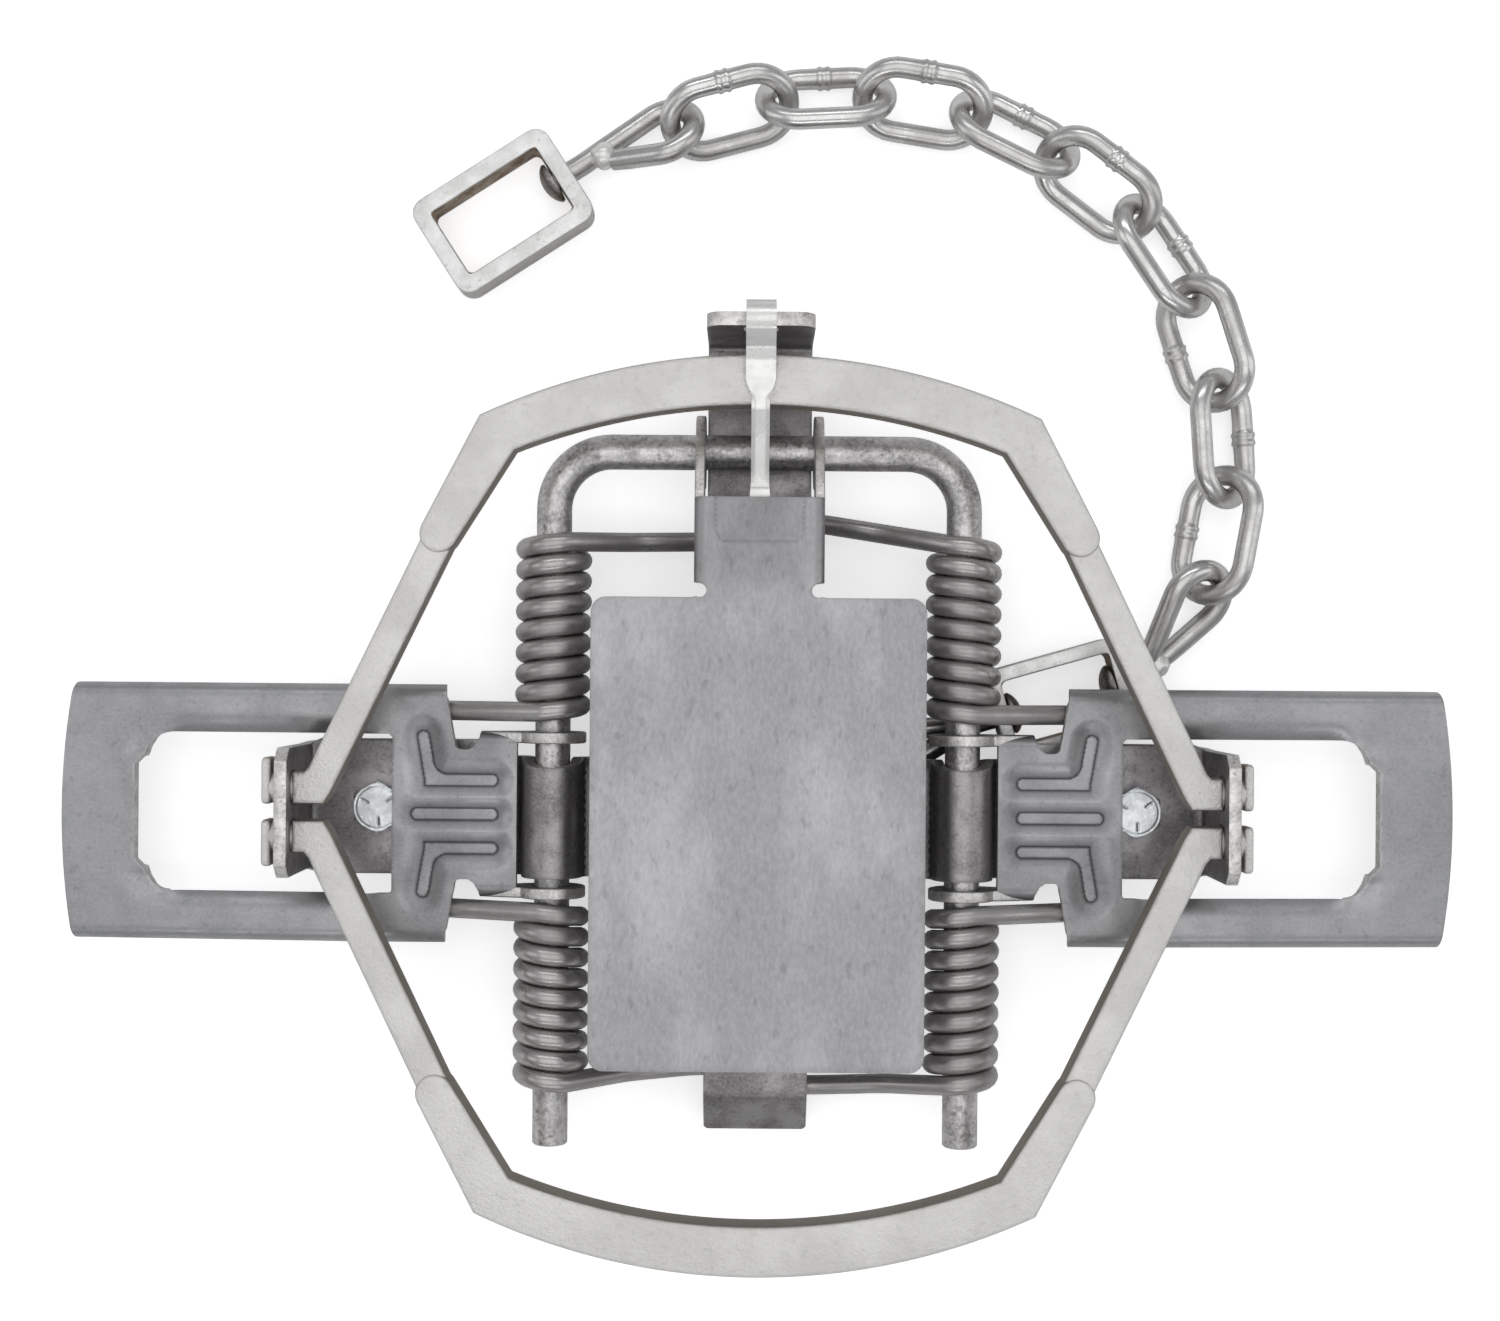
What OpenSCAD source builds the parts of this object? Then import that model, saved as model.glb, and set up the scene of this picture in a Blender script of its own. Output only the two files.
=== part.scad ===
// Coil spring leghold trap, laid out set, seen from above with its dog at +Y.
// Origin on the floor under the middle of the base. Millimetres.

/* [Base] */
// Width of the base strap
base_w = 32.6; // [28:0.5:36]
// Thickness of the base strap
base_t = 3; // [2.5:0.1:3.5]
// Outer face of a jaw post from the middle
post_x = 110.6; // [108:0.2:114]
// Width of a jaw post
post_w = 30; // [26:0.5:32]
// Height of a jaw post's top over the floor
post_top = 40.2; // [40:0.2:44]
// Clip of a post's top corners
post_clip = 3; // [1:0.5:5]
// Upper edge of the hump from the centreline
hump_y1 = 11; // [8:0.5:13]
// Bolt centres from the middle
bolt_x = 91; // [88:0.5:94]

/* [Lower channel] */
// Width of the lower channel
lower_w = 21; // [20:0.5:21.4]
// Sheet thickness of the lower channel
lower_t = 2.6; // [2:0.1:2.6]
// Half length of the lower channel
lower_x = 102; // [99:0.5:106]
// Top of the channel's rims over the floor
rim_z = 10; // [10:0.1:10.4]

/* [Rod] */
// Diameter of the bent rod
rod_d = 8.4; // [7.8:0.1:8.8]
// Rod leg from the middle
rod_x = 49; // [48:0.2:50]
// Rod cross part from the base centreline
rod_y = 85.4; // [84:0.2:88]
// Free end of a rod leg
rod_end = 80; // [78:0.5:84]
// Bend radius of the rod on its centreline
rod_bend = 13.8; // [12:0.2:16]

/* [Cross strap] */
// Width of the cross strap
strap_w = 25; // [22:0.5:25.2]
// Thickness of the cross strap
strap_t = 3.2; // [2.6:0.1:3.4]
// Gap between the jaw's outer edge and the foot of the dog flange
flange_gap = 5.1; // [4.9:0.1:6.1]
// Height of the dog flange's top over the floor
flange_top = 41.6; // [41:0.1:43]
// Ridge of the hooked end from the base centreline
hook_y = 69.6; // [69:0.1:72]
// Reach of the hooked end past its ridge
hook_reach = 9.5; // [8:0.5:11]

/* [Springs] */
// Wire diameter of a spring
wire_d = 4.5; // [4:0.1:4.6]
// Outside diameter of a coil
coil_od = 18.2; // [17.6:0.1:18.6]
// Pitch of the turns
coil_pitch = 4.94; // [4.94:0.02:5.1]
// Full turns of a coil
coil_turns = 8; // [6:1:8]

/* [Levers] */
// Half width of a lever over its rails
lever_half = 30.8; // [29:0.2:32]
// Half width of the window
window_half = 19; // [18:0.2:20]
// Half width of the neck over its ears
neck_half = 19.8; // [19.4:0.1:20]
// Sheet thickness
lever_t = 2.8; // [2.4:0.1:3]
// Sideways set of both levers
lever_y = -1.3; // [-1.6:0.1:0]
// Inner edge of the neck from the middle
neck_x = 57.2; // [57:0.1:58]
// Shoulder of the rails from the middle
shoulder_x = 74.4; // [73:0.2:77]
// Inner end of the window
window_x0 = 86.8; // [85:0.2:88]
// Outer end of the window
window_x1 = 149; // [140:1:154]
// Outer end of the lever
lever_x = 166.8; // [162:0.2:172]
// Top of the head plate over the floor
lever_z = 20.9; // [20.7:0.1:21.2]
// Fall of the rails in degrees
rail_fall = 3.6; // [2:0.1:4]
// Depth of the turned down edges, over all
lip_h = 6; // [4.5:0.1:7]

/* [Jaws] */
// Pin height over the floor
pin_z = 31.7; // [31.4:0.1:32]
// Pin centres from the base centreline
pin_y = 5.6; // [5.4:0.1:6]
// Pin diameter
pin_d = 7.4; // [6.8:0.1:7.6]
// Jaw thickness
jaw_t = 7.6; // [7:0.1:7.8]
// Rise of the jaw's middle plane over its pins
jaw_rise = 0.5; // [0:0.1:0.6]
// Width of an arm
arm_w = 7.6; // [7:0.1:8.4]
// Reach of the outer arc from the base centreline
jaw_reach = 106.4; // [105:0.2:107.5]
// Outer corner of the arc, sideways
corner_x = 64.8; // [62:0.2:67]
// Outer corner of the arc, lengthways
corner_y = 92; // [90:0.2:93]
// Inner top of the arc from the base centreline
jaw_inner = 94.6; // [94:0.2:95.4]
// Proud height of the raised gripping face
pad_h = 0.7; // [0.3:0.1:0.8]

/* [Pan] */
// Half width of the pan plate
pan_half = 39; // [36:0.2:39.2]
// Upper edge of the plate
pan_y1 = 50.4; // [49:0.2:52]
// Lower edge of the plate
pan_y0 = -59.6; // [-62:0.2:-57]
// Sheet thickness of the pan
pan_t = 2.4; // [2:0.1:2.6]
// Top of the pan over the floor
pan_z = 33.6; // [33.2:0.1:34]
// Lip edge over the dog, from the base centreline
lip_y = 73.8; // [73:0.2:75]
// Radius of an ear round the rod
pan_ear_r = 8.8; // [8:0.1:9]

/* [Dog] */
// Width of the band
dog_w = 7.2; // [6.6:0.1:8]
// Width of the finger
finger_w = 4.8; // [4:0.1:5.4]
// Thickness of the dog
dog_t = 2.2; // [1.8:0.1:2.4]

/* [Bolts] */
// Thread diameter of a bolt
bolt_d = 6.3; // [5.8:0.1:6.4]
// Hexagon across flats
hex_af = 11.1; // [10.4:0.1:11.4]
// Height of the hexagon
hex_h = 4.1; // [3.6:0.1:4.3]

/* [Chain] */
// Wire diameter of a link
link_d = 5; // [4.8:0.1:5]
// Outside width of a link
link_w = 22; // [21.6:0.1:22.6]
// Outside length of a link
link_len = 34.6; // [34.6:0.1:35]
// Wire diameter of a swivel eye
eye_d = 5.2; // [5:0.1:5.2]
// Outside length of a box ring
ring_len = 34; // [33.6:0.2:36]
// Outside width of a box ring
ring_w = 23; // [21:0.2:24]
// Bar thickness of a box ring
ring_t = 3.4; // [3:0.1:3.6]
// Height of a box ring
ring_h = 9; // [8.4:0.1:9.2]
// Outside length of the larger ring at the end
end_ring_len = 38.6; // [38:0.2:40]
// Outside width of the end ring
end_ring_w = 26.2; // [25:0.2:28]
// Bar thickness of the end ring
end_ring_t = 4.2; // [3.8:0.1:4.4]

/* [Hidden] */
$fn = 48;
fit = 0.3;
rod_r = rod_d / 2;
strap_z = rim_z;
strap_top = strap_z + strap_t;
rod_z = strap_top + rod_r;
base_z = strap_z;
flange_y = jaw_reach + flange_gap;
hump_in = rod_r + 0.2;
hump_r = hump_in + base_t;
coil_r = (coil_od - wire_d) / 2;
ear_y = neck_half - lever_t;
spring_gap = [2.4, 0.7];
spring_y = [lever_y + neck_half + spring_gap[0] + wire_d / 2,
    neck_half - lever_y + spring_gap[1] + wire_d / 2];
pin_x0 = post_x - base_t;
lug_x = post_x + 0.4;

module slab(x0, x1, y0, y1, z0, z1) {
    translate([x0, y0, z0]) cube([x1 - x0, y1 - y0, z1 - z0]);
}

module mirrored_pair() {
    children();
    mirror([1, 0, 0]) children();
}

// A sheet outline in X and Z, given its thickness along Y
module along_y(y0, y1) {
    translate([0, y1, 0]) rotate([90, 0, 0]) linear_extrude(y1 - y0) children();
}

// A sheet outline in Y and Z, given its thickness along X
module along_x(x0, x1) {
    translate([x0, 0, 0]) rotate([90, 0, 90]) linear_extrude(x1 - x0) children();
}

function arc(cx, cy, r, a0, a1, n = 10) =
    [for (i = [0:n]) [cx + r * cos(a0 + (a1 - a0) * i / n), cy + r * sin(a0 + (a1 - a0) * i / n)]];

module rounded_rect(x0, x1, y0, y1, r) {
    polygon(concat(arc(x1 - r, y1 - r, r, 0, 90), arc(x0 + r, y1 - r, r, 90, 180),
        arc(x0 + r, y0 + r, r, 180, 270), arc(x1 - r, y0 + r, r, 270, 360)));
}

// Base strap: humps over the rod, flat ends on the lower plate, posts for the jaw pins
module post() {
    bend = base_t + 1.2;
    difference() {
        union() {
            slab(pin_x0, post_x, -post_w / 2, post_w / 2, base_z + bend, post_top);
            slab(rod_x + hump_in, post_x - bend, -base_w / 2, base_w / 2, base_z, base_z + base_t);
            translate([post_x - bend, post_w / 2, base_z + bend]) rotate([90, 0, 0])
                intersection() {
                    difference() {
                        cylinder(r = bend, h = post_w);
                        translate([0, 0, -1]) cylinder(r = bend - base_t, h = post_w + 2);
                    }
                    translate([0, -bend, 0]) cube([bend, bend, post_w]);
                }
        }
        for (side = [-1, 1]) {
            translate([pin_x0 - 1, side * pin_y, pin_z]) rotate([0, 90, 0])
                cylinder(d = pin_d + 2 * fit, h = base_t + 2);
            translate([pin_x0 - 1, side * post_w / 2, post_top]) rotate([45, 0, 0])
                translate([0, -post_clip * 0.7071, -post_clip * 0.7071])
                    cube([base_t + 2, post_clip * 1.4142, post_clip * 1.4142]);
        }
        translate([bolt_x, 0, base_z - 1]) cylinder(d = bolt_d + 2 * fit, h = base_t + 2);
    }
}

module hump() {
    along_y(-base_w / 2, hump_y1) difference() {
        union() {
            translate([rod_x, rod_z]) circle(r = hump_r);
            translate([rod_x - hump_r, strap_top]) square([hump_r, rod_z - strap_top]);
            translate([rod_x, base_z]) square([hump_r, rod_z - base_z]);
        }
        translate([rod_x, rod_z]) circle(r = hump_in);
        translate([rod_x - hump_in, base_z - 5]) square([2 * hump_in, rod_z - base_z + 5]);
    }
}

module base_frame() {
    color("dimgray") difference() {
        union() {
            mirrored_pair() {
                post();
                hump();
            }
            slab(-(rod_x - hump_in), rod_x - hump_in, -base_w / 2, base_w / 2,
                strap_top, strap_top + base_t);
        }
        mirrored_pair() slab(rod_x - hump_r - 4, rod_x + hump_r + 5, hump_y1, base_w,
            base_z - 1, rod_z + hump_r + 1);
    }
}

// Lower channel that the trap stands on; the chain's eye goes in by a slot and out by a hole
rim_y = lower_w / 2;
eye_hole = [eye_d / 2 + 1.4, eye_d / 2 + 2.4];
module lower_plate() {
    color("dimgray") difference() {
        slab(-lower_x, lower_x, -rim_y, rim_y, 0, rim_z);
        slab(-lower_x - 1, lower_x + 1, lower_t - rim_y, rim_y - lower_t, lower_t, rim_z + 1);
        for (side = [-1, 1]) translate([side * bolt_x, 0, -1])
            cylinder(d = bolt_d + fit, h = lower_t + 2);
        along_y(rim_y - lower_t - 0.2, rim_y + 1) {
            translate([0, inner_z]) rounded_rect(inner_hole_x - eye_hole[0], inner_hole_x + eye_hole[1],
                -eye_d / 2 - fit, eye_d / 2 + fit, 1.2);
            translate([0, eye_slot_z]) rounded_rect(eye_slot[0], eye_slot[1],
                -eye_d / 2 - fit, eye_d / 2 + fit, 1.2);
        }
    }
}

module bolt(side) {
    color("gainsboro") translate([side * bolt_x, 0, 0]) {
        translate([0, 0, 0.2]) cylinder(d = bolt_d, h = base_z + base_t);
        translate([0, 0, base_z + base_t]) cylinder(d = hex_af / cos(30), h = hex_h - 0.3, $fn = 6);
        translate([0, 0, base_z + base_t]) cylinder(d = hex_af - 0.6, h = hex_h);
    }
}

// Rod bent to a U, lying on the cross strap
module u_rod() {
    color("dimgray") translate([0, 0, rod_z]) {
        mirrored_pair() {
            translate([rod_x, -rod_end, 0]) rotate([-90, 0, 0])
                cylinder(d = rod_d, h = rod_end + rod_y - rod_bend);
            translate([rod_x - rod_bend, rod_y - rod_bend, 0])
                rotate_extrude(angle = 90) translate([rod_bend, 0]) circle(d = rod_d);
        }
        translate([-(rod_x - rod_bend), rod_y, 0]) rotate([0, 90, 0])
            cylinder(d = rod_d, h = 2 * (rod_x - rod_bend));
    }
}

// Cross strap: dog flange at its upper end, downturned hook over the spring legs at its lower end
flange_lean = 0.6;
bar_h = 2.6;
slot_w = dog_w + 0.8;
slot_h = 4.6;
module cross_strap() {
    color("dimgray") difference() {
        along_x(-strap_w / 2, strap_w / 2) polygon([
            [-hook_y - hook_reach, strap_z - 5.4], [-hook_y - hook_reach + 2.4, strap_z - 7.2],
            [-hook_y + strap_t * 0.4, strap_z], [flange_y + 1.2, strap_z],
            [flange_y + strap_t, strap_z + 2],
            [flange_y + strap_t + flange_lean, flange_top], [flange_y + flange_lean, flange_top],
            [flange_y, strap_top], [-hook_y, strap_top]]);
        slab(-slot_w / 2, slot_w / 2, flange_y - 1, flange_y + 10,
            flange_top - bar_h - slot_h, flange_top - bar_h);
    }
}

// Torsion springs: one tube each, from the tip under the lever to the tip under the strap
lever_leg_a = 20.5;
strap_leg_a = 36;
lever_leg_tip = 80;
strap_leg_z = strap_z - wire_d / 2 - 0.25;
knee_x = 31;
tube_sides = 6;
turn_rings = 8;

// Points of a spring's centreline with its lever leg at y0 and its turns going up the Y axis
function tangent_pt(side, a) = [rod_x + side * coil_r * sin(a), rod_z + coil_r * cos(a)];
function spring_path(y0, y_tip, tip_x) = let(
    n = coil_turns * turn_rings,
    full = 360 * coil_turns + lever_leg_a + strap_leg_a,
    a_out = tangent_pt(1, lever_leg_a),
    y1 = y0 + coil_pitch * full / 360,
    a_in = tangent_pt(-1, strap_leg_a),
    knee_z = a_in[1] - (a_in[0] - knee_x) * tan(strap_leg_a))
    concat(
        [[lever_leg_tip, y0, a_out[1] - (lever_leg_tip - a_out[0]) * tan(lever_leg_a)]],
        [for (i = [0:n]) let(a = lever_leg_a - full * i / n)
            [rod_x + coil_r * sin(a), y0 + coil_pitch * full / 360 * i / n, rod_z + coil_r * cos(a)]],
        [[knee_x, (y1 + y_tip) / 2, max(knee_z, strap_leg_z + 0.4)],
         [strap_w / 2 + 2, y_tip, strap_leg_z], [tip_x, y_tip, strap_leg_z]]);

function unit(v) = v / norm(v);
function path_dir(p, i) = unit(p[min(i + 1, len(p) - 1)] - p[max(i - 1, 0)]);
function turned(v, from, to) = let(
    axis = cross(from, to), s = norm(axis), c = from * to)
    s < 1e-9 ? v : let(k = axis / s)
        v * c + cross(k, v) * s + k * (k * v) * (1 - c);
function frames(p, i, v) = i >= len(p) ? [] :
    let(w = i == 0 ? v : turned(v, path_dir(p, i - 1), path_dir(p, i)),
        u = unit(w - path_dir(p, i) * (w * path_dir(p, i))))
    concat([u], frames(p, i + 1, u));

module tube(p, d, sides) {
    n = len(p);
    ups = frames(p, 0, [0, 1, 0.01]);
    pts = [for (i = [0:n - 1]) let(t = path_dir(p, i), u = ups[i], w = cross(t, u))
        for (k = [0:sides - 1]) p[i] + d / 2 * (u * cos(360 * k / sides) + w * sin(360 * k / sides))];
    walls = [for (i = [0:n - 2]) for (k = [0:sides - 1]) let(a = i * sides + k,
        b = i * sides + (k + 1) % sides) each [[a, a + sides, b], [b, a + sides, b + sides]]];
    caps = [for (k = [1:sides - 2]) each [[0, k, k + 1],
        [(n - 1) * sides, (n - 1) * sides + k + 1, (n - 1) * sides + k]]];
    polyhedron(points = pts, faces = concat(walls, caps), convexity = 10);
}

// Least distance between stretches of the wire a full turn apart, less the wire
function least_gap(p) = min([for (i = [1:len(p) - 4 - turn_rings])
    for (j = [i + turn_rings - 2:min(i + turn_rings + 2, len(p) - 4)]) norm(p[i] - p[j])]) - wire_d;

tip_short = strap_w / 2 - 3;
upper_tip = [64.6, 69.3];
lower_tip = [63, 67.6];
module spring(side, up, y_tip) {
    p = spring_path(spring_y[up > 0 ? 0 : 1], y_tip, -tip_short);
    echo(str("spring gap to itself ", least_gap(p)));
    color("slategray") mirror([side > 0 ? 0 : 1, 0, 0]) mirror([0, up > 0 ? 0 : 1, 0])
        tube(p, wire_d, tube_sides);
}

// Lever: ribbed head with ears on the rod, two rails round a window, a broad outer end
lever_ear_r = rod_r + 3.8;
head_x1 = window_x0 + 6;
window_r = 5;
shoulder_run = 2.4;
notch_x0 = neck_x + 8.7;
notch_r = 1.5;
notch_w = 6.1;
notch_y = 15.4;
groove_w = 2.5;
groove_depth = 1.1;
groove_x0 = neck_x + 6;
groove_x1 = shoulder_x + 3.4;
groove_y0 = 8;
groove_y1 = 18.2;
groove_spread = 1.6;
bar_x1 = shoulder_x + 6.6;
rail_drop = (lever_x - head_x1) * tan(rail_fall);
edge_cut = 2;
bow_r = 175;

// Side outline from x0 to the outer end, bent at the head, between two depths under its top
function bent(x0, d0, d1) = [[x0, lever_z - d1], [x0, lever_z - d0], [head_x1, lever_z - d0],
    [lever_x, lever_z - d0 - rail_drop], [lever_x, lever_z - d1 - rail_drop], [head_x1, lever_z - d1]];

// Blank of the sheet seen from above, with its bowed end, shoulders and notches
module lever_blank() {
    bow_a = asin(lever_half / bow_r);
    difference() {
        polygon(concat([[neck_x, -neck_half], [shoulder_x - shoulder_run, -neck_half],
            [shoulder_x, -lever_half]],
            arc(lever_x - bow_r, 0, bow_r, -bow_a, bow_a, 12),
            [[shoulder_x, lever_half], [shoulder_x - shoulder_run, neck_half], [neck_x, neck_half]]));
        rounded_rect(window_x0, window_x1, -window_half, window_half, window_r);
        for (side = [-1, 1]) mirror([0, side > 0 ? 0 : 1]) translate([notch_x0, notch_y])
            rounded_rect(0, notch_w, 0, neck_half, notch_r);
    }
}

// Round ended stroke of width w through two points, or three with a mitred corner
function side_of(a, b) = let(d = unit(b - a)) [-d[1], d[0]];
function cap(p, d, w) = let(t = atan2(d[1], d[0])) arc(p[0], p[1], w / 2, t - 90, t + 90, 6);
function mitre(a, b, c) = let(m = unit(side_of(a, b) + side_of(b, c))) m / (m * side_of(a, b));
function stroke(p, w) = let(n = len(p) - 1, out = unit(p[n] - p[n - 1]), back = unit(p[0] - p[1]),
    m = n > 1 ? mitre(p[0], p[1], p[2]) * w / 2 : [0, 0])
    concat(cap(p[n], out, w), n > 1 ? [p[1] + m] : [], cap(p[0], back, w), n > 1 ? [p[1] - m] : []);

module groove(p) {
    translate([0, 0, lever_z - groove_depth]) linear_extrude(groove_depth + 1) polygon(stroke(p, groove_w));
}

module lever_ear() {
    cheek = asin((lever_z - rod_z) / lever_ear_r);
    along_y(ear_y, neck_half) difference() {
        polygon(concat([[notch_x0, lever_z - 5], [notch_x0, lever_z - 0.6], [neck_x + 1.5, lever_z - 0.6]],
            arc(rod_x, rod_z, lever_ear_r, cheek, 270, 20)));
        translate([rod_x, rod_z]) circle(d = rod_d + 2 * fit);
    }
}

module lever_sheet() {
    difference() {
        intersection() {
            union() {
                along_y(-lever_half + 1, lever_half - 1) polygon(bent(neck_x - 1, 0, lever_t));
                for (s = [-1, 1]) along_y(s > 0 ? lever_half - lever_t : -lever_half,
                    s > 0 ? lever_half : -lever_half + lever_t) polygon(bent(shoulder_x - 1, 0, lip_h));
            }
            translate([0, 0, lever_z - 20]) linear_extrude(22) lever_blank();
        }
        for (s = [-1, 1]) {
            translate([shoulder_x - 9, s * lever_half, lever_z]) edge_cutter(head_x1 - shoulder_x + 9);
            translate([head_x1, s * lever_half, lever_z]) rotate([0, rail_fall, 0])
                edge_cutter(lever_x - head_x1 + 3);
            mirror([0, s > 0 ? 0 : 1, 0])
                groove([[groove_x0, groove_y0], [groove_x1, groove_y0],
                    [groove_x1 + groove_spread, groove_y1]]);
        }
        groove([[groove_x0, 0], [bar_x1, 0]]);
    }
}

// Breaks a long edge; laid along X with its middle on the edge
module edge_cutter(length) {
    rotate([45, 0, 0]) translate([0, -edge_cut * 0.7071, -edge_cut * 0.7071])
        cube([length, edge_cut * 1.4142, edge_cut * 1.4142]);
}

module lever(side) {
    color("lightslategray") mirror([side > 0 ? 0 : 1, 0, 0]) translate([0, lever_y, 0]) {
        lever_sheet();
        for (s = [-1, 1]) mirror([0, s > 0 ? 0 : 1, 0]) lever_ear();
    }
}

// Jaw: a flat cast bow, drawn for +Y, lying open
arm_x0 = 102;
arm_x1 = 73.6;
arm_y1 = 64.4;
pad_w = 11.2;
arm_dir = unit([arm_x1 - arm_x0, arm_y1 - pin_y]);
arm_nrm = [arm_dir[1], -arm_dir[0]];
arm_tip = [arm_x1, arm_y1];
pad_out = arm_tip + arm_nrm * (pad_w - arm_w / 2);
pad_in = arm_tip - arm_nrm * arm_w / 2;
function arc_radius(h, c) = (c * c + h * h) / (2 * h);
function left_of(p) = [for (i = [len(p) - 1:-1:0]) [-p[i][0], p[i][1]]];

// Points of the bow from the right pad over the outside to the left, and back along the inside
inner_x = corner_x - 8.2;
inner_y = corner_y - 8.2;
bow_out_r = arc_radius(jaw_reach - corner_y, corner_x);
bow_in_r = arc_radius(jaw_inner - inner_y, inner_x);
bow_out = let(a = asin(corner_x / bow_out_r)) arc(0, jaw_reach - bow_out_r, bow_out_r, 90 - a, 90 + a, 24);
bow_in = let(a = asin(inner_x / bow_in_r)) arc(0, jaw_inner - bow_in_r, bow_in_r, 90 + a, 90 - a, 24);
pad_mid = (pad_out + pad_in) / 2;
pad_a = atan2(-arm_dir[1], -arm_dir[0]);
pad_end = arc(pad_mid[0], pad_mid[1], pad_w / 2, pad_a - 90, pad_a + 90, 12);

module bow_outline() {
    polygon(concat(pad_end, bow_out, left_of(pad_end), bow_in));
}

module arm_outline() {
    near = [arm_x0, pin_y];
    far = arm_tip + arm_dir * 8;
    w = arm_w / 2 - 0.05;
    near_a = atan2(-arm_dir[1], -arm_dir[0]);
    polygon(concat(arc(near[0], near[1], w, near_a - 90, near_a + 90, 10),
        [far + arm_nrm * w, far - arm_nrm * w]));
}

module jaw() {
    translate([0, 0, pin_z + jaw_rise - jaw_t / 2]) {
        linear_extrude(jaw_t + pad_h) bow_outline();
        mirrored_pair() linear_extrude(jaw_t) arm_outline();
    }
    mirrored_pair() {
        translate([arm_x0 - 1, pin_y, pin_z]) rotate([0, 90, 0]) cylinder(d = pin_d, h = lug_x + 2 - arm_x0);
        translate([lug_x, 0, pin_z]) rotate([90, 0, 90]) linear_extrude(3.6)
            rounded_rect(pin_y - pin_d / 2 - 0.1, pin_y + 7, -pin_d / 2 - 0.1, pin_d / 2 + 0.1, 1.5);
    }
}

module jaw_upper() {
    color("silver") jaw();
}

module jaw_lower() {
    color("silver") mirror([0, 1, 0]) jaw();
}

// Pan: broad plate, neck with side flanges, ears on the rod's cross part
neck_w = 30.4;
relief = 1.9;
module pan() {
    color("darkgray") difference() {
        union() {
            translate([0, 0, pan_z - pan_t]) linear_extrude(pan_t) {
                rounded_rect(-pan_half, pan_half, pan_y0, pan_y1, 3.6);
                translate([-neck_w / 2 + 1, pan_y1 - 4]) square([neck_w - 2, lip_y - pan_y1 + 4]);
            }
            mirrored_pair() along_x(neck_w / 2 - pan_t, neck_w / 2) difference() {
                union() {
                    polygon([[pan_y1 + 2 * relief, pan_z], [pan_y1 + 2 * relief, pan_z - 5],
                        [rod_y - pan_ear_r * 0.8, rod_z + 6], [rod_y, rod_z], [rod_y + pan_ear_r, rod_z],
                        [rod_y + 4, rod_z + 8], [lip_y, pan_z]]);
                    translate([rod_y, rod_z]) circle(r = pan_ear_r);
                }
                translate([rod_y, rod_z]) circle(d = rod_d + 2 * fit);
            }
        }
        mirrored_pair() translate([neck_w / 2 - 1.2, pan_y1 + relief, pan_z - 10])
            cylinder(r = relief, h = 12);
    }
}

// Dog: curled round the bar over the flange's slot, its finger under the pan's lip
dog_y = flange_y + flange_lean + strap_t / 2 - 0.1;
dog_z = flange_top - bar_h / 2;
curl_in = 2.4;
curl_out = curl_in + dog_t;
tip_y = lip_y - 1.2;
tip_z = pan_z - pan_t - 0.3;
jaw_top = pin_z + jaw_rise + jaw_t / 2 + pad_h;
module dog() {
    over = jaw_top + fit;
    neck_y = jaw_inner + 6;
    color("silver") {
        along_x(-dog_w / 2, dog_w / 2) difference() {
            union() {
                translate([dog_y, dog_z]) circle(r = curl_out);
                polygon([[dog_y, dog_z + curl_out], [dog_y - 3.4, dog_z + curl_out - 0.9],
                    [jaw_reach, over + dog_t + 0.5], [neck_y, over + dog_t], [neck_y, over],
                    [jaw_reach + 0.4, over + 0.3], [dog_y - curl_in, dog_z - 0.6]]);
            }
            translate([dog_y, dog_z]) circle(r = curl_in);
            translate([dog_y - curl_out - 1, dog_z - curl_out - 1]) square([curl_out - 0.6, curl_out]);
        }
        along_x(-finger_w / 2, finger_w / 2) polygon([
            [tip_y, tip_z - 1.4], [tip_y, tip_z], [lip_y + 2, tip_z + 0.5],
            [jaw_inner - 1, over + dog_t - 0.1], [neck_y + 3, over + dog_t], [neck_y + 3, over],
            [jaw_inner - 1.4, over]]);
    }
}

// Chain parts lie on the floor; a link is an oval of round wire tipped over its long axis
link_slack = 0.8;
link_r = (link_w - link_d) / 2;
link_straight = link_len - link_w;
link_pitch = link_straight + 2 * link_r - link_d - link_slack;
link_tip = 42;
eye_tip = link_tip - 4;
bead_d = link_d + 0.8;
chain_z = link_r * sin(link_tip) + bead_d / 2 + 0.1;

// Wire oval with a weld bead in the middle of one leg
module oval() {
    for (side = [-1, 1]) {
        translate([-link_straight / 2, side * link_r, 0]) rotate([0, 90, 0])
            cylinder(d = link_d, h = link_straight);
        translate([side * link_straight / 2, 0, 0]) rotate([0, 0, side * 90 - 180])
            rotate_extrude(angle = 180) translate([link_r, 0]) circle(d = link_d);
    }
    translate([-0.7, -link_r, 0]) rotate([0, 90, 0]) cylinder(d = bead_d, h = 1.4);
}

module at(p, z, a) {
    translate([p[0], p[1], z]) rotate([0, 0, a]) children();
}

function step(p, a, r) = [p[0] + r * cos(a), p[1] + r * sin(a)];

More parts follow.
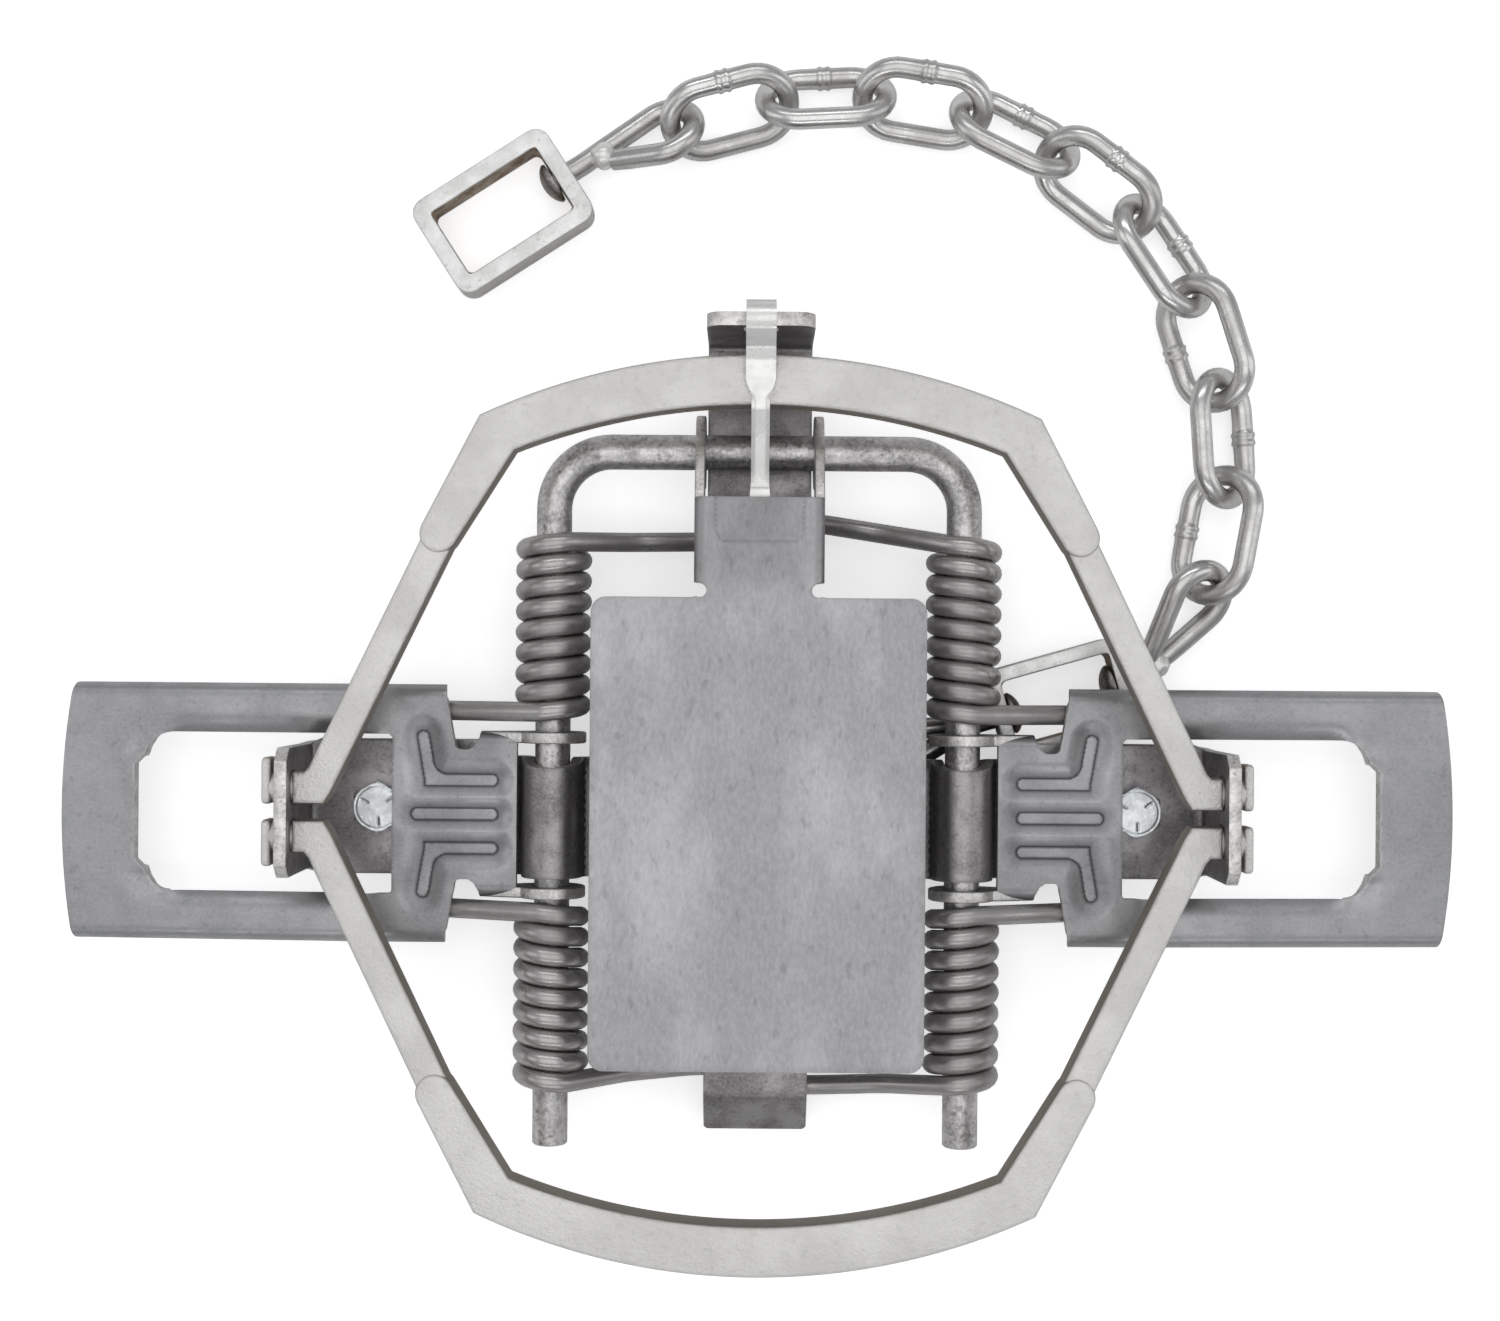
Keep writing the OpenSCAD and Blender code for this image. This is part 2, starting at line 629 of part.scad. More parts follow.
// Swivel at the trap: ring, its heading, and the two eyes
ring_z = ring_h / 2 + 0.3;
ring_wall = ring_len / 2 - ring_t;
ring_corner = [3.4, 1.2];
box_a = 16;
shank_past = 3.4;
eye_shank = ring_t + shank_past;
eye_r = 7.6;
eye_in = eye_r - eye_d / 2 - link_slack / 2;
outer_a = 56;
outer_len = 23.3;
inner_z = lower_t + 3 * fit + eye_d / 2;
inner_hole_x = 19.3;
inner_reach = 35.4;
inner_r = 6.5;
inner_shank = eye_shank + 2;
inner_turn = 3;
inner_a = box_a + 180 + inner_turn;
inner_root = step([inner_hole_x, rim_y - lower_t / 2], inner_a + 180, inner_reach);
inner_len = inner_reach - inner_r;
inner_pitch = asin((inner_z - ring_z) / inner_reach);
box_mid = step(inner_root, box_a, ring_wall + inner_shank);
outer_root = step(box_mid, box_a, ring_wall + eye_shank);
outer_pitch = asin((chain_z - ring_z) / (outer_len + eye_in));
inner_leg_a = inner_a + asin(inner_r / inner_len);
function leg_x(y) = inner_root[0] + (y - inner_root[1]) / tan(inner_leg_a);
eye_slot_half = eye_d / 2 / abs(sin(inner_leg_a)) + 4 * fit;
eye_slot = [leg_x(rim_y - lower_t) - eye_slot_half, leg_x(rim_y) + eye_slot_half];
leg_mid = [leg_x(rim_y - lower_t / 2), rim_y - lower_t / 2];
eye_slot_z = ring_z + norm(leg_mid - inner_root) * cos(inner_leg_a - inner_a) * tan(inner_pitch);

// Headings of the links, from the trap to the end swivel, chosen by hand
headings = [80, 94, 108, 124, 143, 154, 171, 183, 195];
function joint(i) = i == 0 ? step(outer_root, outer_a, (outer_len + eye_in) * cos(outer_pitch))
    : step(joint(i - 1), headings[i - 1], link_pitch);

module link(i) {
    color("silver") at(step(joint(i - 1), headings[i - 1], link_pitch / 2), chain_z, headings[i - 1])
        rotate([i % 2 == 0 ? link_tip : -link_tip, 0, 0]) oval();
}

// Box ring with its length along X and a rivet hole in each short wall named
module box_ring(length, width, bar, walls) {
    wall = length / 2 - bar;
    side_wall = width / 2 - bar;
    difference() {
        translate([0, 0, -ring_h / 2]) linear_extrude(ring_h) difference() {
            rounded_rect(-length / 2, length / 2, -width / 2, width / 2, ring_corner[0]);
            rounded_rect(-wall, wall, -side_wall, side_wall, ring_corner[1]);
        }
        for (side = walls) translate([side > 0 ? 0 : -length, 0, 0]) rotate([0, 90, 0])
            cylinder(d = eye_d + 2 * fit, h = length);
    }
}

// Swivel eye: rivet head inside the ring's wall at x = 0, shank, and a welded loop of wire
head_d = 10.4;
head_h = 2.2;
head_neck_d = 7;
weld_d = eye_d + 0.14;
lap_a = 2;
module swivel_eye(shank, loop_len, loop_r, heading, pitch, tilt) {
    spread = asin(loop_r / loop_len);
    translate([-head_h - fit, 0, 0]) rotate([0, 90, 0]) cylinder(d1 = head_neck_d, d2 = head_d, h = head_h);
    translate([-fit - 0.1, 0, 0]) rotate([0, 90, 0]) cylinder(d = eye_d, h = shank + fit + 0.1);
    translate([shank, 0, 0]) rotate([0, 0, heading]) rotate([tilt, -pitch, 0]) {
        sphere(d = weld_d);
        for (side = [-1, 1]) rotate([0, 0, side * spread]) rotate([0, 90, 0])
            rotate([0, 0, 90 + side * 50]) cylinder(d = eye_d, h = loop_len * cos(spread));
        translate([loop_len, 0, 0]) rotate([0, 0, -90 - spread - lap_a])
            rotate_extrude(angle = 180 + 2 * (spread + lap_a)) translate([loop_r, 0])
                circle(d = eye_d - 0.06);
    }
}

module inner_box() {
    color("gainsboro") at(box_mid, ring_z, box_a) box_ring(ring_len, ring_w, ring_t, [-1, 1]);
}

module inner_eye() {
    color("slategray") at(step(box_mid, box_a, -ring_wall), ring_z, box_a + 180)
        swivel_eye(inner_shank, inner_len, inner_r, inner_turn, inner_pitch, 0);
}

module outer_eye() {
    color("slategray") at(step(box_mid, box_a, ring_wall), ring_z, box_a)
        swivel_eye(eye_shank, outer_len, eye_r, outer_a - box_a, outer_pitch, eye_tip);
}

// End swivel: eye from the last link, then the open ring
end_eye_a = 20;
end_box_a = 33;
end_len = 21.8;
end_shank = end_ring_t + shank_past;
end_ring_wall = end_ring_len / 2 - end_ring_t;
end_pitch = asin((chain_z - ring_z) / (end_len + eye_in));
end_root = step(joint(len(headings)), end_eye_a + 180, (end_len + eye_in) * cos(end_pitch));
end_wall = step(end_root, end_box_a + 180, end_shank);
module end_eye() {
    color("slategray") at(end_wall, ring_z, end_box_a)
        swivel_eye(end_shank, end_len, eye_r, end_eye_a - end_box_a, end_pitch, -eye_tip);
}

module end_box() {
    color("gainsboro") at(step(end_wall, end_box_a + 180, end_ring_wall), ring_z, end_box_a)
        box_ring(end_ring_len, end_ring_w, end_ring_t, [1]);
}

base_frame();
lower_plate();
bolt(-1);  // bolt_left
bolt(1);  // bolt_right
u_rod();
cross_strap();
spring(-1, 1, upper_tip[0]);  // spring_upper_left
spring(1, 1, upper_tip[1]);  // spring_upper_right
spring(-1, -1, lower_tip[0]);  // spring_lower_left
spring(1, -1, lower_tip[1]);  // spring_lower_right
lever(-1);  // lever_left
lever(1);  // lever_right
jaw_upper();
jaw_lower();
pan();
dog();
inner_eye();
inner_box();
outer_eye();
link(1);  // link_01
link(2);  // link_02
link(3);  // link_03
link(4);  // link_04
link(5);  // link_05
link(6);  // link_06
link(7);  // link_07
link(8);  // link_08
link(9);  // link_09
end_eye();
end_box();
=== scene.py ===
# %% [markdown]
# # A leghold trap, laid open and set
# This lesson dresses a steel foothold trap that was drawn in CAD. The CAD model is
# loaded first and stays as a fixed frame: every piece made here sits on it, and all but the
# springs ride on one of its bodies. The looks come from three things: sheet pieces bent from flat
# blanks, round wire swept along its path, and worn steel made with procedural nodes.

# %% Load the frame
import math
import bpy
import bmesh
from mathutils import Matrix, Vector, noise
from mathutils.geometry import delaunay_2d_cdt


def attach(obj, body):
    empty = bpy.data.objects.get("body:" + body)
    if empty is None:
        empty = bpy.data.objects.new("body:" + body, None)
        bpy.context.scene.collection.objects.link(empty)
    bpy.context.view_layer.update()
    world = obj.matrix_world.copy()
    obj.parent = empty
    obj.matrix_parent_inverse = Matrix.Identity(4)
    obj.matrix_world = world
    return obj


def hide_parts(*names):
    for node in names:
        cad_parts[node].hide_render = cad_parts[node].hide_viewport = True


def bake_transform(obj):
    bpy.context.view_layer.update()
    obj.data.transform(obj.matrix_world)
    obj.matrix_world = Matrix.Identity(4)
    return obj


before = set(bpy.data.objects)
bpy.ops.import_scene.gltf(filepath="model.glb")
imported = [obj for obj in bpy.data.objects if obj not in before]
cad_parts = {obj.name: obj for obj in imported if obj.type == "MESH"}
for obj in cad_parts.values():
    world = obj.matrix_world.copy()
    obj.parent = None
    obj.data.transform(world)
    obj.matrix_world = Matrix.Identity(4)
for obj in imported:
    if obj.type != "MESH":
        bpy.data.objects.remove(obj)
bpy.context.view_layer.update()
MM = 0.001
scene = bpy.context.scene

# %% [markdown]
# The camera looks straight down from about half a metre, as the photographer did, with a
# half-degree roll. A standard lens on a standard sensor gives the frame of the photograph.

# %% Camera
SENSOR, LENS, CAMERA_PLACE, CAMERA_ROLL = 36, 49.92, (-0.0020, 0.0358, 0.515), 0.45
camera_data = bpy.data.cameras.new("camera")
camera_data.sensor_width, camera_data.lens = SENSOR, LENS
camera_data.clip_start, camera_data.clip_end = 0.01, 20
camera = bpy.data.objects.new("camera", camera_data)
camera.location = CAMERA_PLACE
camera.rotation_euler = (0, 0, math.radians(CAMERA_ROLL))
scene.collection.objects.link(camera)
scene.camera = camera
scene.view_settings.view_transform = "Standard"

# %% [markdown]
# The studio is a pale floor, a soft lamp above and four round the sides. Steel shows what it
# mirrors, and the world is a plain grey: flat sheet then looks grey and every rounded edge catches
# a bright strip. The floor glows to the camera only.

# %% Studio
def soft_lamp(name, place, size, power):
    """A rectangular lamp that faces the middle of the trap."""
    data = bpy.data.lights.new(name, "AREA")
    data.shape, data.size, data.size_y, data.energy = "RECTANGLE", size[0], size[1], power
    lamp = bpy.data.objects.new(name, data)
    lamp.location = place
    lamp.rotation_euler = Vector(place).to_track_quat("Z", "Y").to_euler()
    scene.collection.objects.link(lamp)

soft_lamp("top_box", (0, 0.03, 1.25), (1.3, 1.1), 3.6)
soft_lamp("left_box", (-1.15, 0.1, 0.6), (0.6, 1.2), 1.5)
soft_lamp("right_box", (1.15, 0.1, 0.6), (0.6, 1.2), 1.5)
soft_lamp("back_box", (0, 1.05, 0.95), (1.4, 0.22), 2.5)
soft_lamp("front_box", (0, -1.05, 0.95), (1.4, 0.22), 2.0)

world = bpy.data.worlds.new("studio")
scene.world = world
world.use_nodes = True
sky = world.node_tree.nodes["Background"].inputs
sky["Color"].default_value, sky["Strength"].default_value = (0.80, 0.81, 0.83, 1), 0.45

def floor_material():
    m = bpy.data.materials.new("white_floor")
    m.use_nodes = True
    nodes, link = m.node_tree.nodes, m.node_tree.links.new
    bsdf = nodes["Principled BSDF"]
    bsdf.inputs["Base Color"].default_value = (0.86, 0.86, 0.86, 1)
    bsdf.inputs["Roughness"].default_value = 0.9
    glow = nodes.new("ShaderNodeEmission")
    glow.inputs["Strength"].default_value = 0.58
    ray = nodes.new("ShaderNodeLightPath")
    add = nodes.new("ShaderNodeAddShader")
    mix = nodes.new("ShaderNodeMixShader")
    link(bsdf.outputs[0], add.inputs[0])
    link(glow.outputs[0], add.inputs[1])
    link(ray.outputs["Is Camera Ray"], mix.inputs[0])
    link(bsdf.outputs[0], mix.inputs[1])
    link(add.outputs[0], mix.inputs[2])
    link(mix.outputs[0], nodes["Material Output"].inputs["Surface"])
    return m

bpy.ops.mesh.primitive_plane_add(size=8, location=(0, 0, -0.0001))
floor = bpy.context.object
floor.name = "floor"
floor.data.materials.append(floor_material())

# %% [markdown]
# All the steel here is one recipe with other numbers: a broad mottle from rolling and handling,
# a fine grain that also roughens the surface, and scattered bright and dark specks. The grain
# drives a small bump, so lamps break up on it as on real mill steel. The patterns sit on Object
# coordinates in metres: a scale of 1000 makes features of about a millimetre. Some finishes add
# painted shade: a point attribute darkens creases, grooves and chamfers, and upright faces take a
# darker wall colour.

# %% The steel recipe
def noise_node(tree, place, scale, detail, roughness):
    n = tree.nodes.new("ShaderNodeTexNoise")
    n.inputs["Scale"].default_value = scale
    n.inputs["Detail"].default_value = detail
    n.inputs["Roughness"].default_value = roughness
    tree.links.new(place, n.inputs["Vector"])
    return n.outputs["Fac"]

def ramp_node(tree, value, low, high, a=0.0, b=1.0):
    n = tree.nodes.new("ShaderNodeMapRange")
    n.interpolation_type = "SMOOTHSTEP"
    n.inputs["From Min"].default_value, n.inputs["From Max"].default_value = low, high
    n.inputs["To Min"].default_value, n.inputs["To Max"].default_value = a, b
    tree.links.new(value, n.inputs["Value"])
    return n.outputs["Result"]

def mix_node(tree, factor, a, b):
    n = tree.nodes.new("ShaderNodeMix")
    n.data_type = "RGBA"
    for socket, value in ((n.inputs[0], factor), (n.inputs[6], a), (n.inputs[7], b)):
        if isinstance(value, tuple):
            socket.default_value = value
        else:
            tree.links.new(value, socket)
    return n.outputs[2]

def rgba(colour, gain=1):
    return (*[min(1, c * gain) for c in colour], 1)

def steel(name, light, dark, rough, mottle, grain, bump, specks=0.35,
          stretch=(1, 1, 1), metal=1.0, bump_mm=0.12, crease=False, wall=None):
    """mottle and grain are pattern scales. crease darkens by the attribute of that name, a
    painted shade, and wall is the colour that upright faces take, a painted shade."""
    m = bpy.data.materials.new(name)
    m.use_nodes = True
    tree = m.node_tree
    new, link = tree.nodes.new, tree.links.new
    bsdf = tree.nodes["Principled BSDF"]
    bsdf.inputs["Metallic"].default_value = metal
    coord, mapping = new("ShaderNodeTexCoord"), new("ShaderNodeMapping")
    mapping.inputs["Scale"].default_value = stretch
    link(coord.outputs["Object"], mapping.inputs["Vector"])
    place = mapping.outputs["Vector"]
    broad = ramp_node(tree, noise_node(tree, place, mottle, 8, 0.65), 0.34, 0.68)
    fine = noise_node(tree, place, grain, 4, 0.7)
    grit = noise_node(tree, place, grain * 0.45, 2, 0.5)
    tone = mix_node(tree, broad, rgba(dark), rgba(light))
    tone = mix_node(tree, ramp_node(tree, fine, 0.35, 0.68, 0, specks), tone, rgba(light, 1.5))
    tone = mix_node(tree, ramp_node(tree, grit, 0.60, 0.72, 0, specks), tone, rgba(dark, 0.45))
    # Painted shade: a point attribute mixes in a much darker tone where creases, grooves and
    # chamfers would lie in shade.
    if crease:
        mark = new("ShaderNodeAttribute")
        mark.attribute_name = "crease"
        tone = mix_node(tree, mark.outputs["Fac"], tone, rgba(dark, 0.12))
    # Painted shade: faces that stand upright take the darker wall colour, as if less lit than the
    # tops.
    if wall:
        split, up = new("ShaderNodeSeparateXYZ"), new("ShaderNodeMath")
        up.operation = "ABSOLUTE"
        link(coord.outputs["Normal"], split.inputs[0])
        link(split.outputs["Z"], up.inputs[0])
        tone = mix_node(tree, ramp_node(tree, up.outputs[0], 0.3, 0.8, 0.9, 0.0), tone, rgba(wall))
    link(tone, bsdf.inputs["Base Color"])
    link(ramp_node(tree, broad, 0, 1, rough + 0.08, rough - 0.05), bsdf.inputs["Roughness"])
    raised = new("ShaderNodeBump")
    raised.inputs["Strength"].default_value = bump
    raised.inputs["Distance"].default_value = bump_mm * MM
    link(fine, raised.inputs["Height"])
    link(raised.outputs[0], bsdf.inputs["Normal"])
    return m

FINISH = {"dark_steel": steel("mill_steel", (0.37, 0.355, 0.36), (0.19, 0.18, 0.185),
                              0.40, 90, 1500, 0.35)}
def finish(name, *numbers, **more):
    FINISH[name] = steel(name, *numbers, **more)

finish("rod_steel", (0.66, 0.64, 0.635), (0.30, 0.29, 0.29), 0.33, 150, 1100, 0.8, 0.5, bump_mm=0.2)
finish("stamped_steel", (0.445, 0.445, 0.455), (0.36, 0.36, 0.37), 0.40, 45, 1300, 0.3, 0.22,
       crease=True)
# The casting's upright sides take a brown painted shade (wall).
finish("cast_steel", (0.93, 0.915, 0.885), (0.84, 0.825, 0.795), 0.50, 60, 1300, 1.0, 0.12,
       bump_mm=0.4, wall=(0.36, 0.32, 0.27))
finish("pan_steel", (0.49, 0.485, 0.495), (0.42, 0.415, 0.425), 0.48, 40, 1200, 0.3, 0.25,
       stretch=(1, 0.45, 1), crease=True)
finish("spring_steel", (0.50, 0.485, 0.475), (0.36, 0.345, 0.34), 0.31, 60, 2200, 0.04, 0.1,
       metal=0.8)
finish("bright_dog", (0.95, 0.94, 0.92), (0.82, 0.81, 0.79), 0.27, 140, 1600, 0.25, 0.12,
       metal=0.6)
finish("link_steel", (0.76, 0.75, 0.735), (0.54, 0.53, 0.515), 0.27, 90, 1800, 0.08, 0.15)
finish("eye_steel", (0.68, 0.67, 0.655), (0.48, 0.47, 0.455), 0.28, 90, 1700, 0.08, 0.15)
finish("rivet_steel", (0.40, 0.375, 0.355), (0.17, 0.15, 0.14), 0.34, 260, 1500, 0.4, 0.4)
# The bar's upright outer walls take a greyer painted shade (wall).
finish("bright_bar", (0.93, 0.925, 0.91), (0.76, 0.755, 0.735), 0.38, 170, 1300, 0.6, 0.3,
       metal=0.8, bump_mm=0.2, wall=(0.55, 0.53, 0.49))
finish("rusty_bar", (0.50, 0.44, 0.37), (0.20, 0.12, 0.07), 0.55, 220, 1200, 0.8, 0.35, bump_mm=0.2)
finish("cut_edge", (0.80, 0.78, 0.75), (0.50, 0.48, 0.45), 0.42, 300, 1500, 0.6, 0.45)
finish("zinc_plate", (0.72, 0.75, 0.765), (0.56, 0.585, 0.60), 0.30, 260, 1600, 0.4, 0.15,
       crease=True)
print("finishes", len(FINISH))

# %% [markdown]
# Helpers shared by the pieces. A new mesh becomes a finished piece here: smooth faces with sharp
# edges kept, its finish, the body that it rides on and the CAD piece that it stands for.

# %% Piece helpers
def as_mesh(bm, name="work"):
    mesh = bpy.data.meshes.new(name)
    bm.to_mesh(mesh)
    bm.free()
    return mesh

def new_piece(name, bm, finishes, node, body, angle=38):
    """node is the CAD piece that it stands for, body what it rides on, and angle the bend in
    degrees from which an edge is drawn sharp. The slot is the first finish unless it is given."""
    mesh = as_mesh(bm, name)
    for f in finishes:
        mesh.materials.append(FINISH[f])
    mesh.polygons.foreach_set("use_smooth", [True] * len(mesh.polygons))
    mesh.set_sharp_from_angle(angle=math.radians(angle))
    piece = bpy.data.objects.new(name, mesh)
    scene.collection.objects.link(piece)
    if body:
        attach(piece, body)
    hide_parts(node)
    return piece

def count(label, *pieces):
    print(label, [len(piece.data.polygons) for piece in pieces])

def modified(mesh, kind, settings, inputs={}):
    """What one modifier makes of a mesh. inputs are those of a Geometry Nodes tree."""
    work = bpy.data.objects.new("work", mesh)
    scene.collection.objects.link(work)
    mod = work.modifiers.new(kind, kind)
    for key, value in settings.items():
        setattr(mod, key, value)
    for key, value in inputs.items():
        mod[key] = value
    view = bpy.context.evaluated_depsgraph_get()
    done = bpy.data.meshes.new_from_object(work.evaluated_get(view), depsgraph=view)
    bm = bmesh.new()
    bm.from_mesh(done)
    bpy.data.objects.remove(work)
    bpy.data.meshes.remove(mesh)
    bpy.data.meshes.remove(done)
    return bm

def cleaned(bm):
    """Points on one spot are merged, and all faces look outwards."""
    bmesh.ops.remove_doubles(bm, verts=bm.verts, dist=1e-7)
    bmesh.ops.recalc_face_normals(bm, faces=bm.faces)
    return bm

def skin(bm, rings):
    """Faces between closed rings that have the same number of points."""
    for a, b in zip(rings, rings[1:]):
        for k in range(len(a)):
            bm.faces.new((a[k - 1], b[k - 1], b[k], a[k]))

def joined(*parts):
    bm = bmesh.new()
    for part in parts:
        mesh = as_mesh(part)
        bm.from_mesh(mesh)
        bpy.data.meshes.remove(mesh)
    return bm

def moved(bm, matrix):
    bmesh.ops.transform(bm, matrix=matrix, verts=bm.verts)
    if matrix.to_3x3().determinant() < 0:
        bmesh.ops.reverse_faces(bm, faces=bm.faces)
    return bm

def along(points, step):
    """Points of a closed outline, with none further apart than step."""
    out = []
    for i, p in enumerate(points):
        q = points[(i + 1) % len(points)]
        n = max(1, math.ceil(math.dist(p, q) / step - 1e-6))
        out += [(p[0] + (q[0] - p[0]) * k / n, p[1] + (q[1] - p[1]) * k / n) for k in range(n)]
    return out

def arc(cx, cy, r, a0, a1, n):
    turns = [math.radians(a0 + (a1 - a0) * i / n) for i in range(n + 1)]
    return [(cx + r * math.cos(a), cy + r * math.sin(a)) for a in turns]

def rounded_rect(x0, x1, y0, y1, r, n=6):
    return (arc(x1 - r, y1 - r, r, 0, 90, n) + arc(x0 + r, y1 - r, r, 90, 180, n)
            + arc(x0 + r, y0 + r, r, 180, 270, n) + arc(x1 - r, y0 + r, r, 270, 360, n))

def inside(p, loop):
    """True where a ray from p crosses the loop an odd number of times."""
    hit = False
    for i in range(len(loop)):
        (x0, y0), (x1, y1) = loop[i - 1], loop[i]
        if (y0 > p[1]) != (y1 > p[1]) and p[0] < (x1 - x0) * (p[1] - y0) / (y1 - y0) + x0:
            hit = not hit
    return hit

# %% [markdown]
# Levers, pan, straps and dog are all cut from flat sheet and bent. They are made the same way
# here: a flat blank with its holes is filled with small triangles, each point is carried to its
# place on the bent part, and a second skin is laid one thickness below, square to the first. The
# cut rim gets the brighter finish of sheared steel, and a small Bevel breaks its edges.

# %% Bent sheet helper
RIM_STEP, ROW_STEP, RIM_CLEAR, TRIANGLES = 1.15, 0.87, 0.62, 1
def linked(loops):
    """The points of closed loops one after another, and the edges that close each loop."""
    points, edges = [], []
    for loop in loops:
        first = len(points)
        points += loop
        edges += [(first + i, first + (i + 1) % len(loop)) for i in range(len(loop))]
    return points, edges

def middle(verts, face):
    return sum((verts[i] for i in face), Vector((0, 0))) / len(face)

def blank(outline, holes, step, snap=None):
    """Flat triangles of a blank. step is a length, or a function of a point's place, and snap
    may move a point onto a line that has to come out clean. The points lie in staggered rows."""
    pitch = step if callable(step) else lambda p: step
    least = min(pitch(p) for p in outline + [p for h in holes for p in h])
    loops = [along(loop, least * RIM_STEP) for loop in [outline, *holes]]
    points, edges = linked(loops)
    cell = lambda p: (round(p[0] / least), round(p[1] / least))
    rim = {}
    for p in points:
        rim.setdefault(cell(p), []).append(p)
    xs, ys = [p[0] for p in points], [p[1] for p in points]
    row, y = 0, min(ys)
    while y < max(ys):
        x = min(xs) + (least / 2 if row % 2 else 0)
        column = 0
        while x < max(xs):
            p = (x, y)
            coarse = max(1, round(pitch(p) / least))
            if row % coarse == 0 and column % coarse == 0:
                p = snap(p) if snap else p
                i, j = cell(p)
                near = [q for di in (-1, 0, 1) for dj in (-1, 0, 1)
                        for q in rim.get((i + di, j + dj), [])]
                if all(math.dist(p, q) > least * RIM_CLEAR for q in near):
                    if inside(p, loops[0]) and not any(inside(p, h) for h in loops[1:]):
                        points.append(p)
            x += least
            column += 1
        y += least * ROW_STEP
        row += 1
    verts, _, faces = delaunay_2d_cdt([Vector(p) for p in points], edges, [], TRIANGLES, 1e-6)[:3]
    return verts, [f for f in faces if not any(inside(middle(verts, f), h) for h in loops[1:])]

def surface_normal(fold, x, y):
    h = 0.02
    along_x = Vector(fold(x + h, y)) - Vector(fold(x - h, y))
    along_y = Vector(fold(x, y + h)) - Vector(fold(x, y - h))
    return along_x.cross(along_y).normalized()

def bent_sheet(outline, holes, step, fold, thickness, edge, mark=None, snap=None):
    """fold carries a point of the blank to its place, edge is the width of the broken edge, and
    mark gives a point's share of the painted shade."""
    verts, faces = blank(outline, holes, step, snap)
    bm = bmesh.new()
    # The point attribute that holds the painted shade that mark gives.
    layer = bm.verts.layers.float.new("crease") if mark else None
    top, low = [], []
    for x, y in verts:
        at, n = Vector(fold(x, y)), surface_normal(fold, x, y)
        top.append(bm.verts.new(at * MM))
        low.append(bm.verts.new((at - n * thickness) * MM))
        if mark:
            top[-1][layer] = mark(x, y)
    sides = {(f[k - 1], f[k]) for f in faces for k in range(len(f))}
    for f in faces:
        bm.faces.new([top[i] for i in f])
        bm.faces.new([low[i] for i in reversed(f)])
    for a, b in sides:
        if (b, a) not in sides:
            bm.faces.new((top[b], top[a], low[a], low[b])).material_index = 1
    for v in [v for v in bm.verts if not v.link_faces]:
        bm.verts.remove(v)
    return modified(as_mesh(bm), "BEVEL", dict(
        width=edge * MM, segments=2, limit_method="ANGLE", angle_limit=math.radians(55),
        use_clamp_overlap=True))

def path_fold(points, across):
    """fold(s, w) for a strip bent along a path of (a, z) points; across puts a, w, z in place."""
    lengths = [0]
    for p, q in zip(points, points[1:]):
        lengths.append(lengths[-1] + math.dist(p, q))
    def fold(s, w):
        s = min(max(s, 0), lengths[-1])
        i = max(k for k in range(len(lengths) - 1) if lengths[k] <= s + 1e-9)
        t = (s - lengths[i]) / (lengths[i + 1] - lengths[i])
        a = points[i][0] + (points[i + 1][0] - points[i][0]) * t
        z = points[i][1] + (points[i + 1][1] - points[i][1]) * t
        return across(a, w, z)
    return fold, lengths[-1]

# %% [markdown]
# Castings and sawn bar are solid, with softened edges. A rounded slab is drawn from its outline:
# rings of points step in along a quarter round at the top and the bottom, and the flat faces are
# filled between outline and holes.

# %% Rounded slab helper
def inset(loop, d, outer):
    """The loop moved by d into the metal: inwards for an outline, outwards for a hole."""
    out = []
    for i in range(len(loop)):
        a, b, c = Vector(loop[i - 1]), Vector(loop[i]), Vector(loop[(i + 1) % len(loop)])
        u, v = (b - a).normalized(), (c - b).normalized()
        n1, n2 = Vector((-u.y, u.x)), Vector((-v.y, v.x))
        m = n1 + n2
        m = n1 if m.length < 1e-6 else m.normalized()
        out.append(tuple(b + m * (d if outer else -d) / max(0.35, m.dot(n1))))
    return out

def turned_left(loop):
    area = sum(p[0] * q[1] - q[0] * p[1] for p, q in zip(loop, loop[1:] + loop[:1]))
    return list(loop) if area > 0 else list(reversed(loop))

def rounded_slab(outline, holes, z0, z1, r, steps, place=lambda x, y, z: (x, y, z)):
    """A slab from z0 to z1 with its edges rounded by r. place turns it to lie another way."""
    bm = bmesh.new()
    rings = []
    for k, loop in enumerate([outline, *holes]):
        loop = turned_left(loop)
        levels = []
        for i in range(steps + 1):
            a = math.radians(90 * i / steps)
            levels.append((r * (1 - math.sin(a)), z0 + r * (1 - math.cos(a))))
        levels += [(d, z0 + z1 - z) for d, z in reversed(levels)]
        made = [[bm.verts.new(Vector(place(*p, z)) * MM) for p in inset(loop, d, k == 0)]
                for d, z in levels]
        n = len(loop)
        for low, high in zip(made, made[1:]):
            for i in range(n):
                quad = [low[i], low[(i + 1) % n], high[(i + 1) % n], high[i]]
                bm.faces.new(quad if k == 0 else quad[::-1])
        rings.append((inset(loop, r, k == 0), made[0], made[-1]))
    loops = [ring[0] for ring in rings]
    points, edges = linked(loops)
    verts, _, faces, came_from = delaunay_2d_cdt([Vector(p) for p in points], edges, [],
                                                 TRIANGLES, 1e-7)[:4]
    for side in (1, 2):
        rim = [v for ring in rings for v in ring[side]]
        for f in faces:
            in_hole = any(inside(middle(verts, f), h) for h in loops[1:])
            if not in_hole and all(came_from[i] for i in f):
                corner = [rim[came_from[i][0]] for i in f]
                bm.faces.new(corner if side == 2 else corner[::-1])
    return bm

# %% [markdown]
# Round bar and wire: the rod, the springs, the eyes and the chain links are one section carried
# along a path. A Geometry Nodes tree does it, with named inputs for the radius and the number of
# sides. The path is a mesh of edges; a "thick" attribute on it swells the wire at a weld.

